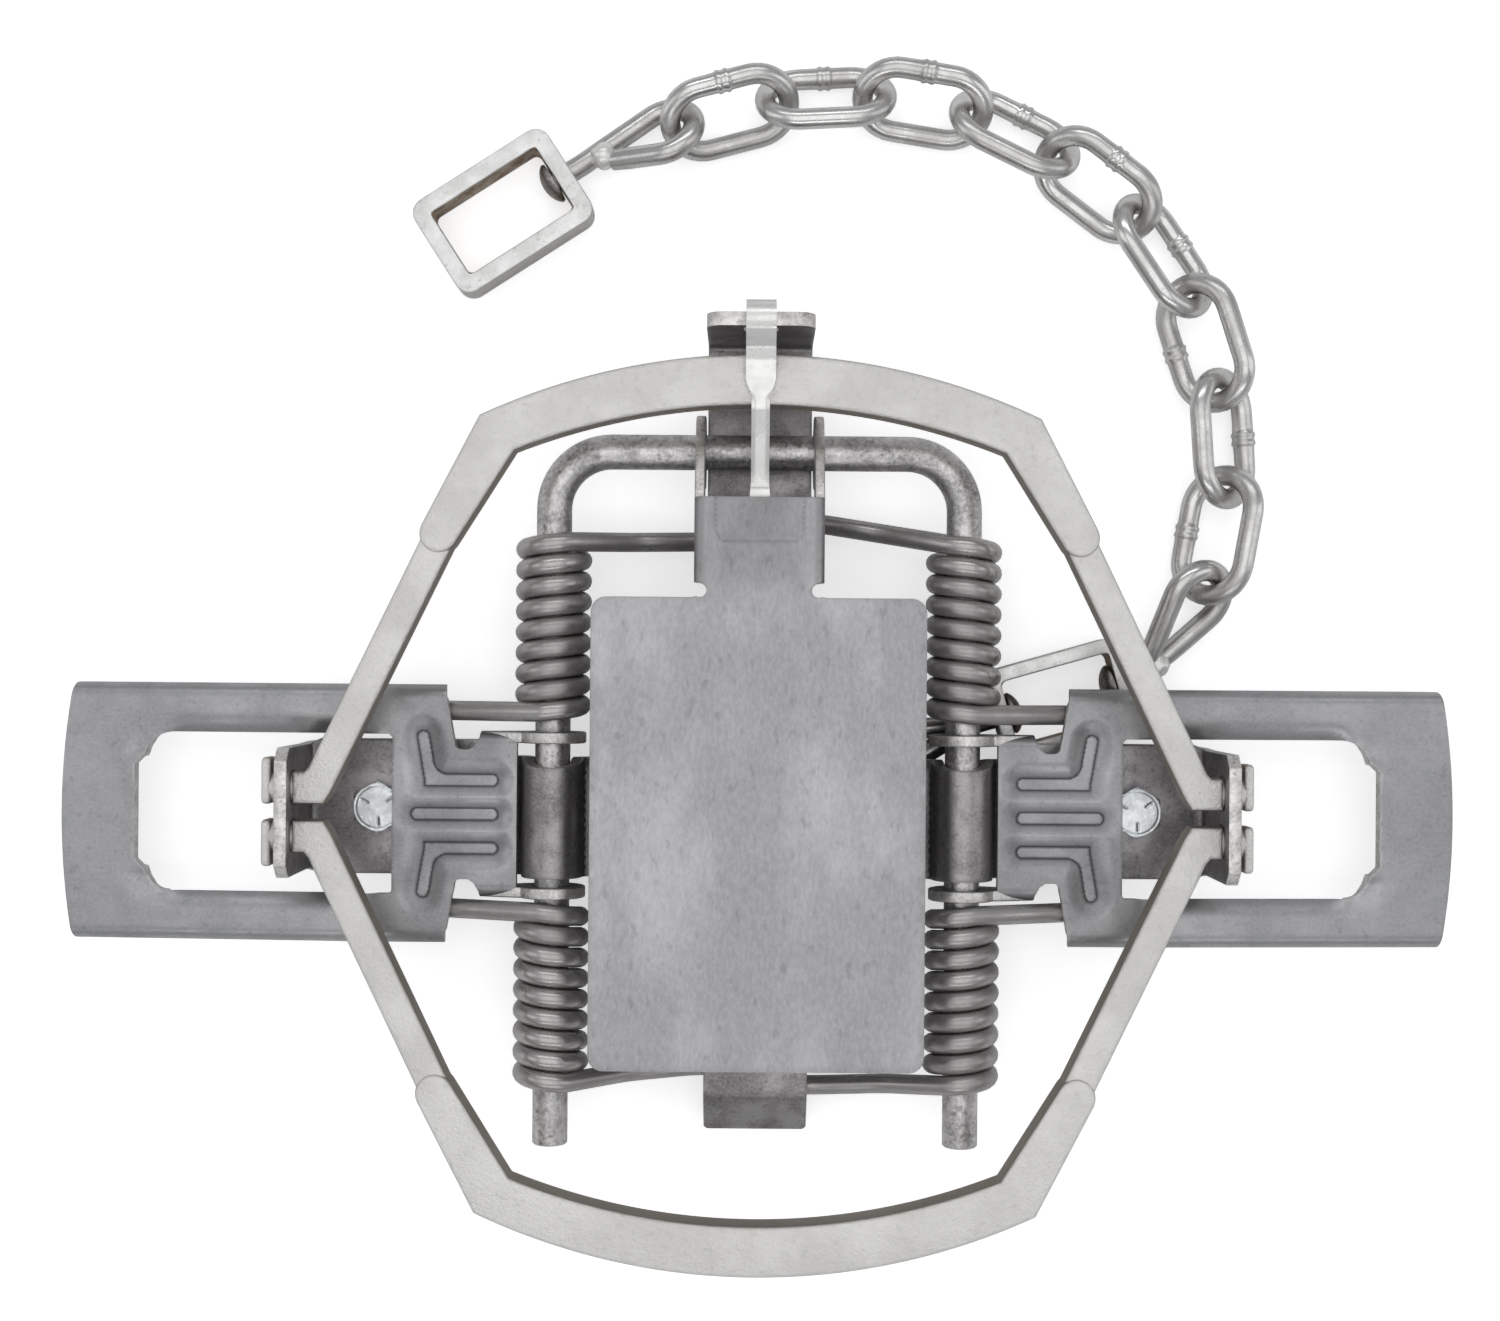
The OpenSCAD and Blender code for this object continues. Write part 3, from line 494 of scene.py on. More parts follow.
# %% Wire tree
def wire_tree():
    tree = bpy.data.node_groups.new("round wire", "GeometryNodeTree")
    for label, way, kind in (("Path", "INPUT", "Geometry"), ("Wire Radius", "INPUT", "Float"),
                             ("Sides", "INPUT", "Int"), ("Wire", "OUTPUT", "Geometry")):
        tree.interface.new_socket(label, in_out=way, socket_type="NodeSocket" + kind)
    new, link = tree.nodes.new, tree.links.new
    start, end = new("NodeGroupInput"), new("NodeGroupOutput")
    curve = new("GeometryNodeMeshToCurve")
    thick = new("GeometryNodeInputNamedAttribute")
    thick.data_type = "FLOAT"
    thick.inputs["Name"].default_value = "thick"
    ring = new("GeometryNodeCurvePrimitiveCircle")
    sweep = new("GeometryNodeCurveToMesh")
    sweep.inputs["Fill Caps"].default_value = True
    link(start.outputs["Path"], curve.inputs["Mesh"])
    link(start.outputs["Wire Radius"], ring.inputs["Radius"])
    link(start.outputs["Sides"], ring.inputs["Resolution"])
    link(curve.outputs[0], sweep.inputs["Curve"])
    link(ring.outputs[0], sweep.inputs["Profile Curve"])
    link(thick.outputs["Attribute"], sweep.inputs["Scale"])
    link(sweep.outputs[0], end.inputs[0])
    return tree

WIRE = wire_tree()
def wire(points, radius, sides, closed=False, thick=None):
    """Round wire along points in millimetres. thick scales it at each point."""
    mesh = bpy.data.meshes.new("path")
    n = len(points)
    edges = [(i, (i + 1) % n) for i in range(n if closed else n - 1)]
    mesh.from_pydata([Vector(p) * MM for p in points], edges, [])
    swell = mesh.attributes.new("thick", "FLOAT", "POINT")
    swell.data.foreach_set("value", thick or [1.0] * n)
    values = {"Wire Radius": radius * MM, "Sides": sides}
    inputs = {item.identifier: values[item.name]
              for item in WIRE.interface.items_tree if item.name in values}
    return cleaned(modified(mesh, "NODES", {"node_group": WIRE}, inputs))

# %% [markdown]
# The rod is one bar bent to a U. Its leg ends are sawn, so the caps are brighter than the scale.

# %% Rod
ROD_R, ROD_X, ROD_Y, ROD_END, ROD_BEND, ROD_Z, ROD_HOLE = 4.2, 49, 85.4, 80, 13.8, 17.4, 4.5
corner = arc(ROD_X - ROD_BEND, ROD_Y - ROD_BEND, ROD_BEND, 0, 90, 16)
side = [(ROD_X, y) for y in (-ROD_END, -ROD_END + 0.4, -40, 0, 40)] + corner
rod_path = [(x, y, ROD_Z) for x, y in side] + [(-x, y, ROD_Z) for x, y in reversed(side)]
ends = [0.9 if i in (0, len(rod_path) - 1) else 1.0 for i in range(len(rod_path))]
rod = new_piece("rod", wire(rod_path, ROD_R, 40, thick=ends), ["rod_steel", "cut_edge"],
                "u_rod", "frame")
for f in rod.data.polygons:
    if abs(f.normal.y) > 0.9 and f.center.y < (1 - ROD_END) * MM:
        f.material_index = 1
count("rod faces", rod)

# %% [markdown]
# Four torsion springs sit on the rod. Each is one wire: a straight leg under the lever, eight
# turns, and a leg that drops and tucks under the strap. They are swept from the same rule as the
# CAD.

# %% Springs
WIRE_R, COIL_R, PITCH, TURNS = 2.36, 6.74, 4.94, 8
LEVER_LEG, STRAP_LEG, LEVER_TIP = 20.5, 36, 80
KNEE_X, TUCK_X, STRAP_TIP, STRAP_LEG_Z = 31, 14.5, -9.5, 7.5
def softened(points, r, n):
    """The same path with its corners rounded by a bend of n steps."""
    out = [points[0]]
    for a, b, c in zip(points, points[1:], points[2:]):
        a, b, c = Vector(a), Vector(b), Vector(c)
        if (b - a).angle(c - b) < 0.12:
            out.append(tuple(b))
            continue
        d = min(r, (b - a).length / 2.1, (c - b).length / 2.1)
        p, q = b + (a - b).normalized() * d, b + (c - b).normalized() * d
        out += [tuple(p.lerp(b, t).lerp(b.lerp(q, t), t)) for t in (i / n for i in range(n + 1))]
    return out + [points[-1]]

def spring_path(y0, y_tip):
    """One spring of the right side, from its lever leg to its tip under the strap."""
    turn = 360 * TURNS + LEVER_LEG + STRAP_LEG
    s = lambda a: math.sin(math.radians(a))
    c = lambda a: math.cos(math.radians(a))
    out_x, out_z = ROD_X + COIL_R * s(LEVER_LEG), ROD_Z + COIL_R * c(LEVER_LEG)
    in_x, in_z = ROD_X - COIL_R * s(STRAP_LEG), ROD_Z + COIL_R * c(STRAP_LEG)
    y1 = y0 + PITCH * turn / 360
    knee_z = max(in_z - (in_x - KNEE_X) * math.tan(math.radians(STRAP_LEG)), STRAP_LEG_Z + 0.4)
    n = TURNS * 28
    leg = [(LEVER_TIP, y0, out_z - (LEVER_TIP - out_x) * math.tan(math.radians(LEVER_LEG)))]
    turns = [(ROD_X + COIL_R * s(LEVER_LEG - turn * i / n), y0 + (y1 - y0) * i / n,
              ROD_Z + COIL_R * c(LEVER_LEG - turn * i / n)) for i in range(n + 1)]
    tail = softened([turns[-1], (KNEE_X, (y1 + y_tip) / 2, knee_z), (TUCK_X, y_tip, STRAP_LEG_Z),
                     (STRAP_TIP, y_tip, STRAP_LEG_Z)], 3.5, 5)[1:]
    return leg + turns + tail, y1

def make_spring(place, sx, sy, y0, y_tip):
    name = "spring_" + place
    path, y1 = spring_path(y0, y_tip)
    path = [(sx * x, sy * y, z) for x, y, z in path]
    piece = new_piece(name + "_wire", wire(path, WIRE_R, 16), ["spring_steel"], name, None)
    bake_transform(piece)
    return piece

LEVER_Y, NECK_HALF = -1.3, 19.8
upper_y = LEVER_Y + NECK_HALF + 2.4 + WIRE_R
lower_y = NECK_HALF - LEVER_Y + 0.7 + WIRE_R
springs = [make_spring(*row) for row in (
    ("upper_left", -1, 1, upper_y, 64.6), ("upper_right", 1, 1, upper_y, 69.3),
    ("lower_left", -1, -1, lower_y, 63), ("lower_right", 1, -1, lower_y, 67.6))]
count("spring faces", *springs)

# %% [markdown]
# The levers are the trap's biggest stampings: a head with pressed grooves, two rails with turned
# down edges round a window, and a bowed outer end. The blank is drawn flat, so the turned down
# edge is only more blank at the side. Grooves are a dip that depends on the distance from a line,
# with a crisp crease where the punch's nose ended and a soft shoulder outside it. A painted shade
# darkens the crease line and the head, and the swells between the grooves stay lighter.

# %% Levers
def capsule(p, a, b, r):
    """Distance of p from a bar of radius r between a and b."""
    p, a, b = Vector(p), Vector(a), Vector(b)
    t = max(0, min(1, (p - a).dot(b - a) / (b - a).length_squared))
    return (p - a.lerp(b, t)).length - r

def smooth(x, a, b):
    """0 up to a, 1 from b on, and a soft step between."""
    t = max(0, min(1, (x - a) / (b - a)))
    return t * t * (3 - 2 * t)

LEVER_Z, LEVER_T, HEAD_X1 = 20.9, 2.8, 92.8
RAIL_TAN = math.tan(math.radians(3.6))
LEVER_HALF, WINDOW_X0, WINDOW_X1, WINDOW_HALF, LEVER_END, BOW = 30.8, 86.8, 149, 19, 166.8, 175
NECK_BEND, RAIL_BEND = 3.5, 3.4
GROOVE_X, GROOVE_R, FOOT_Y, CORNER_X, FILLET = 63.2, 1.25, 8.1, 77.8, 3.6
GROOVE_DEPTH, CREASE_LINE = 1.1, 0.15
def groove_distance(x, y):
    """Distance from the edge of the nearest pressed groove, negative inside it. The grooves are
    a straight bar and two feet with a leaning leg, whose inner corner is filled by an arc."""
    a = abs(y)
    bar = capsule((x, y), (GROOVE_X, 0), (81, 0), GROOVE_R)
    foot = capsule((x, a), (GROOVE_X, FOOT_Y), (CORNER_X, FOOT_Y), GROOVE_R)
    leg = capsule((x, a), (CORNER_X, FOOT_Y), (79.6, 18.4), GROOVE_R)
    d = min(foot, leg)
    if x > CORNER_X and a < FOOT_Y:
        d = min(d, max(x - CORNER_X, FOOT_Y - a) - GROOVE_R)
    reach = GROOVE_R + FILLET
    ux, uy = 0.172, 0.985
    cx, cy = CORNER_X - reach * (1 - ux) / uy, FOOT_Y + reach
    left_of_leg = (a - FOOT_Y) * ux > (x - CORNER_X) * uy
    if x > cx and a > FOOT_Y and left_of_leg and (x - cx) * ux + (a - cy) * uy < 0:
        d = min(d, FILLET - math.dist((x, a), (cx, cy)))
    return min(bar, d)

def onto_groove(p):
    """Carries a point that lies close to a groove's edge onto it."""
    x, y = p
    d, e = groove_distance(x, y) - CREASE_LINE, 0.05
    if abs(d) > 0.26:
        return p
    gx = (groove_distance(x + e, y) - groove_distance(x - e, y)) / (2 * e)
    gy = (groove_distance(x, y + e) - groove_distance(x, y - e)) / (2 * e)
    return x - d * gx, y - d * gy

def groove_dip(x, y):
    d = groove_distance(x, y)
    if d <= 0:
        return -GROOVE_DEPTH
    return -GROOVE_DEPTH * (1 - smooth(d, 0.2, 4.6)) - 0.12 * math.exp(-((d - 0.2) / 0.25) ** 2)

ROLL_W, ROLL_H, WINDOW_R = 5.2, 2.4, 7
def rail_roll(x, v):
    """Drop of the rails where the sheet rolls down to the window. It fades at the outer end."""
    dx = max(x - (WINDOW_X1 - WINDOW_R), 0)
    dy = max(abs(v) - (WINDOW_HALF - WINDOW_R), 0)
    d = max(math.hypot(dx, dy) - WINDOW_R, 0)
    near = max(0, 1 - d / ROLL_W) ** 2
    fade = 1 - 0.8 * smooth(x, WINDOW_X1 - 12, WINDOW_X1 - 4)
    return ROLL_H * near * fade * smooth(abs(v), 13.2, 15.5) * smooth(x, 90, 99)

def turned_down(v, half, r):
    """Place and drop of a point v across a sheet whose sides turn down at half with radius r."""
    a, flat = abs(v), half - r
    if a <= flat:
        y, z = a, 0
    elif a <= flat + r * math.pi / 2:
        t = (a - flat) / r
        y, z = flat + r * math.sin(t), -r * (1 - math.cos(t))
    else:
        y, z = half, -r - (a - flat - r * math.pi / 2)
    return math.copysign(y, v), z

def lever_fold(x, v):
    y, z = turned_down(v, *((NECK_HALF, NECK_BEND) if x < 69 else (LEVER_HALF, RAIL_BEND)))
    past = x - HEAD_X1
    fall = past * RAIL_TAN if past > 4 else (past + 4) ** 2 / 16 * RAIL_TAN if past > -4 else 0
    z += groove_dip(x, v) if x < 96 else 0
    z -= rail_roll(x, v)
    return x, y + LEVER_Y, LEVER_Z + z - fall

def lever_painted_shade(x, v):
    """Painted shade: a dark line round the grooves, and over the head, lighter on the swells
    between.
    """
    d = groove_distance(x, v)
    # Painted shade over the whole head.
    head = 0.26 * (1 - smooth(x, 84, 92))
    if d <= 0:
        return head
    # Painted shade: a dark line at the crease and darker next to the grooves; the swells between
    # the grooves get less of the head's shade, a painted highlight.
    swell = smooth(d, 1.2, 3) * (1 - smooth(d, 3, 6)) * (1 - smooth(abs(v), 11, 15))
    line = 0.8 * math.exp(-((d - CREASE_LINE) / 0.3) ** 2) + 0.25 * (1 - smooth(d, 0, 2))
    return min(1, line + head * (1 - 0.9 * swell))

def lever_outline():
    edge = LEVER_HALF - RAIL_BEND + RAIL_BEND * math.pi / 2 + 2.6
    neck = NECK_HALF - 2.8 + 2.8 * math.pi / 2 + 1.2
    bow = lambda y: LEVER_END - BOW + math.sqrt(BOW * BOW - y * y)
    upper = [(bow(y), y) for y in (4, 8, 12, 16, 20, 24, 27)]
    upper += [(bow(LEVER_HALF) - 0.4, 33), (bow(LEVER_HALF) - 1.4, edge)]
    upper += [(75.4, edge), (74.6, edge - 0.7), (74.5, 31), (72.4, 19), (72.0, 17.2)]
    upper += arc(70.6, 16.8, 1.4, 0, -90, 4) + [(68.6, 15.4), (67.2, 16.4), (66.2, 18.4)]
    upper += [(65.9, neck), (58.6, neck), (57.6, 19.6), (57.2, 18.2), (57.2, 8)]
    return [(bow(0), 0)] + upper + [(57.2, 0)] + [(x, -y) for x, y in reversed(upper)]

def lever_window():
    x0, x1, h = WINDOW_X0, WINDOW_X1, WINDOW_HALF
    far = ((0, 7.6), (1.2, 6.4), (2.4, 5.4), (2.9, 4.0), (3.8, 2.6), (4.9, 1.5), (6.1, 0.7),
           (7.4, 0.2), (8.7, 0))
    top = [(x1 - back, h - down) for back, down in far] + [(x0 + 0.8, h), (x0, h - 0.8)]
    return top + [(x, -y) for x, y in reversed(top)]

def two_ears(outline, rod_at, centre, half, thickness, gap, axis, place):
    """Upright ears at both sides of a neck, with a hole for the rod. Their rims are cut edges."""
    ears = []
    for offset in (-half, half - thickness):
        near = centre + offset
        ear = rounded_slab(outline, [arc(*rod_at, ROD_HOLE, 0, 345, 23)], near + gap,
                           near + thickness - gap, 0.4, 3, place)
        bmesh.ops.recalc_face_normals(ear, faces=ear.faces)
        for f in ear.faces:
            f.material_index = 1 if abs(f.normal[axis]) < 0.6 else 0
        ears.append(ear)
    return ears

def make_lever(side, node):
    step = lambda p: 0.46 if 58 < p[0] < 86 and abs(p[1]) < 24 else 0.92
    sheet = bent_sheet(lever_outline(), [lever_window()], step, lever_fold, LEVER_T, 0.3,
                       lever_painted_shade, onto_groove)
    r, z = 8, LEVER_Z
    ear = [(66, z - 5), (66, z - 2.6), (60, z - 0.8), (58, z - 0.3)]
    ear += arc(ROD_X, ROD_Z, r, math.degrees(math.asin((z - ROD_Z) / r)), 270, 24)
    ears = two_ears(ear, (ROD_X, ROD_Z), LEVER_Y, NECK_HALF, LEVER_T, 0.05, 1,
                    lambda x, z, y: (x, y, z))
    bm = joined(sheet, *ears)
    if side < 0:
        moved(bm, Matrix.Diagonal((-1, 1, 1, 1)))
    return new_piece(node + "_stamping", bm, ["stamped_steel", "cut_edge"], node, node)

levers = [make_lever(-1, "lever_left"), make_lever(1, "lever_right")]
count("lever faces", *levers)

# %% [markdown]
# The jaws are sand castings: flat bows with soft edges, a raised face along the bow that ends in
# round pads, slim arms, and pins that pass through the posts to a hooked tab. They are rounded
# slabs, and the finish gives them the pebbled skin. Their upright sides take a darker brown
# colour, a painted shade.

# %% Jaws
PIN_Y, PIN_Z, PIN_R = 5.6, 31.7, 3.7
JAW_REACH, JAW_INNER, BOW_X, BOW_Y, RIB = 106.4, 94.6, 64.8, 92, 8.2
ARM_TIP, ARM_FOOT = Vector((73.6, 64.4)), Vector((102, PIN_Y))
ARM_HALF, SHANK_HALF, PAD_R, RIB_TOP, ARM_TOP = 3.75, 3.65, 4.5, 8.3, 7.58
TAB_X, TAB_T, TAB_Y = 112.3, 2.3, 7
def bow_arc(reach, x, y, side):
    """The arc through (x, y), (0, reach) and (-x, y), or the other way for side -1."""
    rise = reach - y
    r = (x * x + rise * rise) / (2 * rise)
    a = side * math.degrees(math.asin(x / r))
    return arc(0, reach - r, r, 90 - a, 90 + a, 40)

def jaw_outlines():
    """The raised bow with its pads, and one slim arm that turns into the shank of a pin."""
    d = (ARM_TIP - ARM_FOOT).normalized()
    n = Vector((d.y, -d.x))
    mid, a = ARM_TIP + n * 0.4, math.degrees(math.atan2(-d.y, -d.x))
    pad = arc(mid.x, mid.y, PAD_R, a - 90, a + 90, 14)
    left = [(-x, y) for x, y in reversed(pad)]
    bow = pad + bow_arc(JAW_REACH, BOW_X, BOW_Y, 1) + left
    bow += bow_arc(JAW_INNER, BOW_X - RIB, BOW_Y - RIB, -1)
    w, r, far = ARM_HALF, SHANK_HALF, ARM_TIP + d * 8
    bend_out = ARM_FOOT + n * w + d * 2.3
    bend_in = ARM_FOOT - n * w + d * 0.4
    arm = [(bend_in.x, PIN_Y - 1.0), (bend_in.x + 1.7, PIN_Y - r), (107.4, PIN_Y - r),
           (107.4, PIN_Y + r), (bend_out.x + 0.4, PIN_Y + r), (bend_out.x - 0.7, PIN_Y + r + 1.3)]
    return bow, arm + [tuple(far + n * w), tuple(far - n * w)]

def make_jaw(side, node):
    bow, arm = jaw_outlines()
    z0, r = PIN_Z + 0.5 - 3.8, PIN_R + 0.1
    hook = rounded_rect(PIN_Y - r, PIN_Y + TAB_Y, PIN_Z - r, PIN_Z + r, 1.5)
    parts = [rounded_slab(along(bow, 6), [], z0, z0 + RIB_TOP, 1.1, 4)]
    for s in (1, -1):
        one = rounded_slab(along(arm, 8), [], z0 + 0.02, z0 + ARM_TOP, 1.2, 5)
        pin = wire([(x, PIN_Y, PIN_Z) for x in (105, 107, 109, 113.4)], PIN_R, 28)
        tab = rounded_slab(hook, [], TAB_X, TAB_X + TAB_T, 0.8, 3, lambda y, z, x: (x, y, z))
        for piece in (one, pin, tab):
            parts.append(moved(piece, Matrix.Diagonal((s, 1, 1, 1))))
    bm = joined(*parts)
    if side < 0:
        moved(bm, Matrix.Diagonal((1, -1, 1, 1)))
    bmesh.ops.recalc_face_normals(bm, faces=bm.faces)
    return new_piece(node + "_casting", bm, ["cast_steel"], node, node, angle=42)

jaws = [make_jaw(1, "jaw_upper"), make_jaw(-1, "jaw_lower")]
count("jaw faces", *jaws)

# %% [markdown]
# The pan is a broad flat plate with a neck. The neck's sides turn down with a full radius and
# carry two ears that swing on the rod. A round relief notch at each side keeps the bend from
# tearing the plate.

# %% Pan
PAN_Z, PAN_T, PAN_HALF, PAN_Y0, PAN_Y1, LIP_Y = 33.6, 2.4, 39, -59.6, 50.4, 73.8
NECK_W, PAN_BEND, PAN_CORNER = 15.2, 2.6, 3.6
def pan_fold(x, y):
    if y < PAN_Y1 + 2:
        return x, y, PAN_Z
    across, drop = turned_down(x, NECK_W, PAN_BEND)
    return across, y, PAN_Z + drop

def lip_mark(x, y):
    """Dark share: a faint painted shade line where the lip narrows, and darker towards the neck."""
    a = abs(x)
    d = max(a - 10.3 - (y - 66) * 0.02, 63.2 - y)
    if a > 7.2 and y < 66.3:
        d = math.hypot(a - 7.2, 66.3 - y) - 3.1
    # Painted shade: a faint dark line round the lip where it narrows, a little darker inside it;
    # the whole neck end is darker.
    edge = 0.22 * math.exp(-(d / 0.28) ** 2) + (0.06 if d < 0 else 0) if y > 58 else 0
    return edge + 0.25 * smooth(y, 46, 60)

def pan_outline():
    edge = NECK_W - PAN_BEND + PAN_BEND * math.pi / 2 + 2.4
    r = PAN_CORNER
    half = arc(PAN_HALF - r, PAN_Y0 + r, r, -90, 0, 8) + arc(PAN_HALF - r, PAN_Y1 - r, r, 0, 90, 8)
    half += [(NECK_W + 0.6, PAN_Y1)] + arc(NECK_W - 1.4, PAN_Y1 + 1.6, 1.6, -60, -270, 8)
    half += [(NECK_W + 0.4, PAN_Y1 + 3.4), (edge - 0.6, PAN_Y1 + 3.5), (edge, PAN_Y1 + 4.2),
             (edge, LIP_Y - 1.2), (edge - 0.8, LIP_Y)]
    return half + [(-x, y) for x, y in reversed(half)]

def make_pan():
    step = lambda p: 0.7 if p[1] > 48 else 2.1
    sheet = bent_sheet(pan_outline(), [], step, pan_fold, PAN_T, 0.3, lip_mark)
    ear = [(55, 29), (55, 31), (72.8, 31.6), (74.6, 32.2), (88, 26.8), (90.4, 24)]
    ear += arc(ROD_Y, ROD_Z, 8.8, 45, -170, 22) + [(77.6, 22.6), (70, 26)]
    ears = two_ears(ear, (ROD_Y, ROD_Z), 0, NECK_W, PAN_T, 0.04, 0, lambda y, z, x: (x, y, z))
    return new_piece("pan_sheet", joined(sheet, *ears), ["pan_steel", "cut_edge"], "pan", "pan")

pan = make_pan()
count("pan faces", pan)

# %% [markdown]
# The straps are strips bent along a path: the base humps over the rod and turns up to the posts,
# the cross strap turns up to the dog's flange and down to a hook. The rule that bends a strip
# takes the distance along its path and the place across it.

# %% Base and cross strap
POST_X, POST_TOP, FOOT, HUMP_LEN = 106.4, 40.2, 27.5, 44.5
def base_path():
    half = [(POST_X + 1.2, POST_TOP)] + arc(POST_X, 14.2, 1.2, 0, -90, 5) + [(57.4, 13)]
    half += arc(57.4, 14, 1.0, -90, -180, 4) + arc(ROD_X, ROD_Z, 7.4, 0, 180, 22)
    half += arc(ROD_X - 8.2, 17.0, 0.8, 0, -90, 3)
    return [(-x, z) for x, z in half] + list(reversed(half))

def make_base():
    """Posts at both ends of the blank, and a strap between them that is cut in at the humps."""
    fold, total = path_fold(base_path(), lambda a, w, z: (a, w, z))
    hump0 = FOOT + POST_X - 62.4
    hump1 = hump0 + HUMP_LEN
    crown, hollow = (hump0 + hump1) / 2, 12
    post = [(0, 12), (3, 15), (FOOT - 1.6, 15), (FOOT + 1.4, 16.3)]
    rim = post + [(hump0, 16.3), (hump0 + 0.6, 12.4)]
    rim += [(crown + hollow * t / 6, 10 + 2.4 * (t / 6) ** 2) for t in range(-6, 7)]
    rim += [(hump1, 12.4), (hump1 + 0.6, 16.3)]
    top = rim + [(total - s, w) for s, w in reversed(rim)]
    low = [(s, -w) for s, w in post] + [(total - s, -w) for s, w in reversed(post)]
    holes = [arc(s, w, 4.0, 0, 345, 20) for s in (8.5, total - 8.5) for w in (-PIN_Y, PIN_Y)]
    sheet = bent_sheet(low + list(reversed(top)), holes, 1.3, fold, 3.0, 0.35)
    return new_piece("base_strap", sheet, ["dark_steel", "cut_edge"], "base_frame", "frame")

FLANGE_Y, FLANGE_LEAN, FLANGE_TOP = 111.5, 0.6, 41.6
def make_cross():
    path = [(-79.1, 4.6)] + arc(-68.4, 10.4, 2.8, 130, 90, 6) + [(FLANGE_Y - 1.6, 13.2)]
    path += arc(FLANGE_Y - 1.6, 14.8, 1.6, -90, 0, 6) + [(FLANGE_Y + FLANGE_LEAN, FLANGE_TOP)]
    fold, total = path_fold(path, lambda a, w, z: (-w, a, z))
    r, h = 4.0, 12.5
    outline = [(0.9, -h), (total - r, -h)] + arc(total - r, -h + r, r, -90, 0, 6)
    outline += arc(total - r, h - r, r, 0, 90, 6) + [(0.9, h), (0, h - 0.9), (0, -h + 0.9)]
    slot = rounded_rect(total - 7.2, total - 2.6, -4, 4, 0.8, 3)
    sheet = bent_sheet(outline, [slot], 1.2, fold, 3.2, 0.35)
    return new_piece("cross_strap_sheet", sheet, ["dark_steel", "cut_edge"], "cross_strap",
                     "frame")

base, cross = make_base(), make_cross()
count("strap faces", base, cross)

# %% [markdown]
# The dog is a strip that curls over the flange, lies across the open jaw and narrows to a finger
# that holds the pan. Its width follows its length, so one outline gives band, neck and chisel tip.

# %% Dog
DOG_Y, DOG_Z, FINGER_HALF = FLANGE_Y + FLANGE_LEAN + 1.5, 40.3, 2.1
def make_dog():
    path = [(72.6, 30.9), (75.8, 31.4), (80, 33.3), (88, 36.8), (93.6, 38.9), (97, 39.2)]
    path += [(100.6, 39.3), (104.5, 39.5), (107.4, 40.6), (109.4, 42.6), (111.2, 44.2)]
    path += arc(DOG_Y, DOG_Z, 4.6, 100, -75, 20)
    fold, total = path_fold(path, lambda a, w, z: (-w, a, z))
    def half(s):
        return FINGER_HALF + 0.35 * (1 - smooth(s, 0, 5.5)) + 1.35 * smooth(s, 25, 29.5)
    marks = [i * 0.8 for i in range(int(total / 0.8))] + [total]
    low = [(s, -half(s)) for s in marks]
    outline = low + [(s, -w) for s, w in reversed(low)]
    def dog_fold(s, w):
        x, y, z = fold(s, w)
        if 4.5 < s < 27:
            t = smooth(s, 4.5, 8) * (1 - smooth(s, 24, 27))
            z -= 0.55 * t * smooth(abs(w) / FINGER_HALF, 0.55, 1.0)
        return x, y, z
    sheet = bent_sheet(outline, [], 0.5, dog_fold, 2.2, 0.3)
    return new_piece("dog_strip", sheet, ["bright_dog", "bright_dog"], "dog", "dog")

dog = make_dog()
count("dog faces", dog)

# %% [markdown]
# Each bolt head is a hexagon whose top was turned to a cone, so its corners are cut off in a round
# line. A polar grid makes it: the height falls outside the chamfer circle, and painted shade makes
# it a little darker there and along the top edge. Three short ticks are the usual grade marks.

# %% Bolts
BOLT_X, BOLT_AF, BOLT_TOP, BOLT_SEAT, BOLT_FOOT, BOLT_R = 91, 11.1, 17.1, 13.0, 0.2, 3.1
TICKS = (0.6, 0.6 + 2.094, 0.6 + 4.188)
def make_bolt(side, node):
    bm = bmesh.new()
    crease = bm.verts.layers.float.new("crease")
    rows, cols, flat = 22, 96, BOLT_AF / 2
    angles = [2 * math.pi * k / cols for k in range(cols)]
    def point(r, a, z):
        return bm.verts.new(Vector((side * BOLT_X + r * math.cos(a), r * math.sin(a), z)) * MM)
    rings = []
    for i in range(rows + 1):
        ring = []
        for a in angles:
            r = flat / math.cos((a + math.pi / 6) % (math.pi / 3) - math.pi / 6) * i / rows
            z = BOLT_TOP - 0.3 * max(0, r - flat + 0.1)
            if 2.4 < r < 4.6:
                z -= 0.22 * sum(math.exp(-((math.remainder(a - b, 2 * math.pi) * r) / 0.28) ** 2)
                                for b in TICKS)
            z -= 0.16 * smooth(r, 4.9, 5.15) * (1 - smooth(r, 5.25, 5.5))
            ring.append(point(r, a, z))
            # Painted shade: darker on the chamfered corners and along the top edge of the hexagon.
            ring[-1][crease] = 0.1 * smooth(r, 5.4, 5.75) + 0.4 * smooth(i, rows - 1, rows)
        rings.append(ring)
    rings.append([bm.verts.new((v.co.x, v.co.y, BOLT_SEAT * MM)) for v in rings[-1]])
    rings += [[point(BOLT_R, a, z) for a in angles] for z in (BOLT_SEAT, BOLT_FOOT)]
    skin(bm, rings)
    bm.faces.new(rings[-1][::-1])
    return new_piece(node + "_hex", cleaned(bm), ["zinc_plate"], node, "frame", angle=40)

bolts = [make_bolt(-1, "bolt_left"), make_bolt(1, "bolt_right")]
count("bolt faces", *bolts)

# %% [markdown]
# The channel under the base is the CAD's own piece. It only takes the finish of the straps.

# %% Channel
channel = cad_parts["lower_plate"].data
channel.materials.clear()
channel.materials.append(FINISH["dark_steel"])

# %% [markdown]
# The chain is nine welded links. A link is one closed wire: an oval with a raised double ring in
# the middle of one leg, where its ends were butt welded. On two links that leg lies on the inside
# of the curve. Links lie tipped one way and the other, nose to tail.

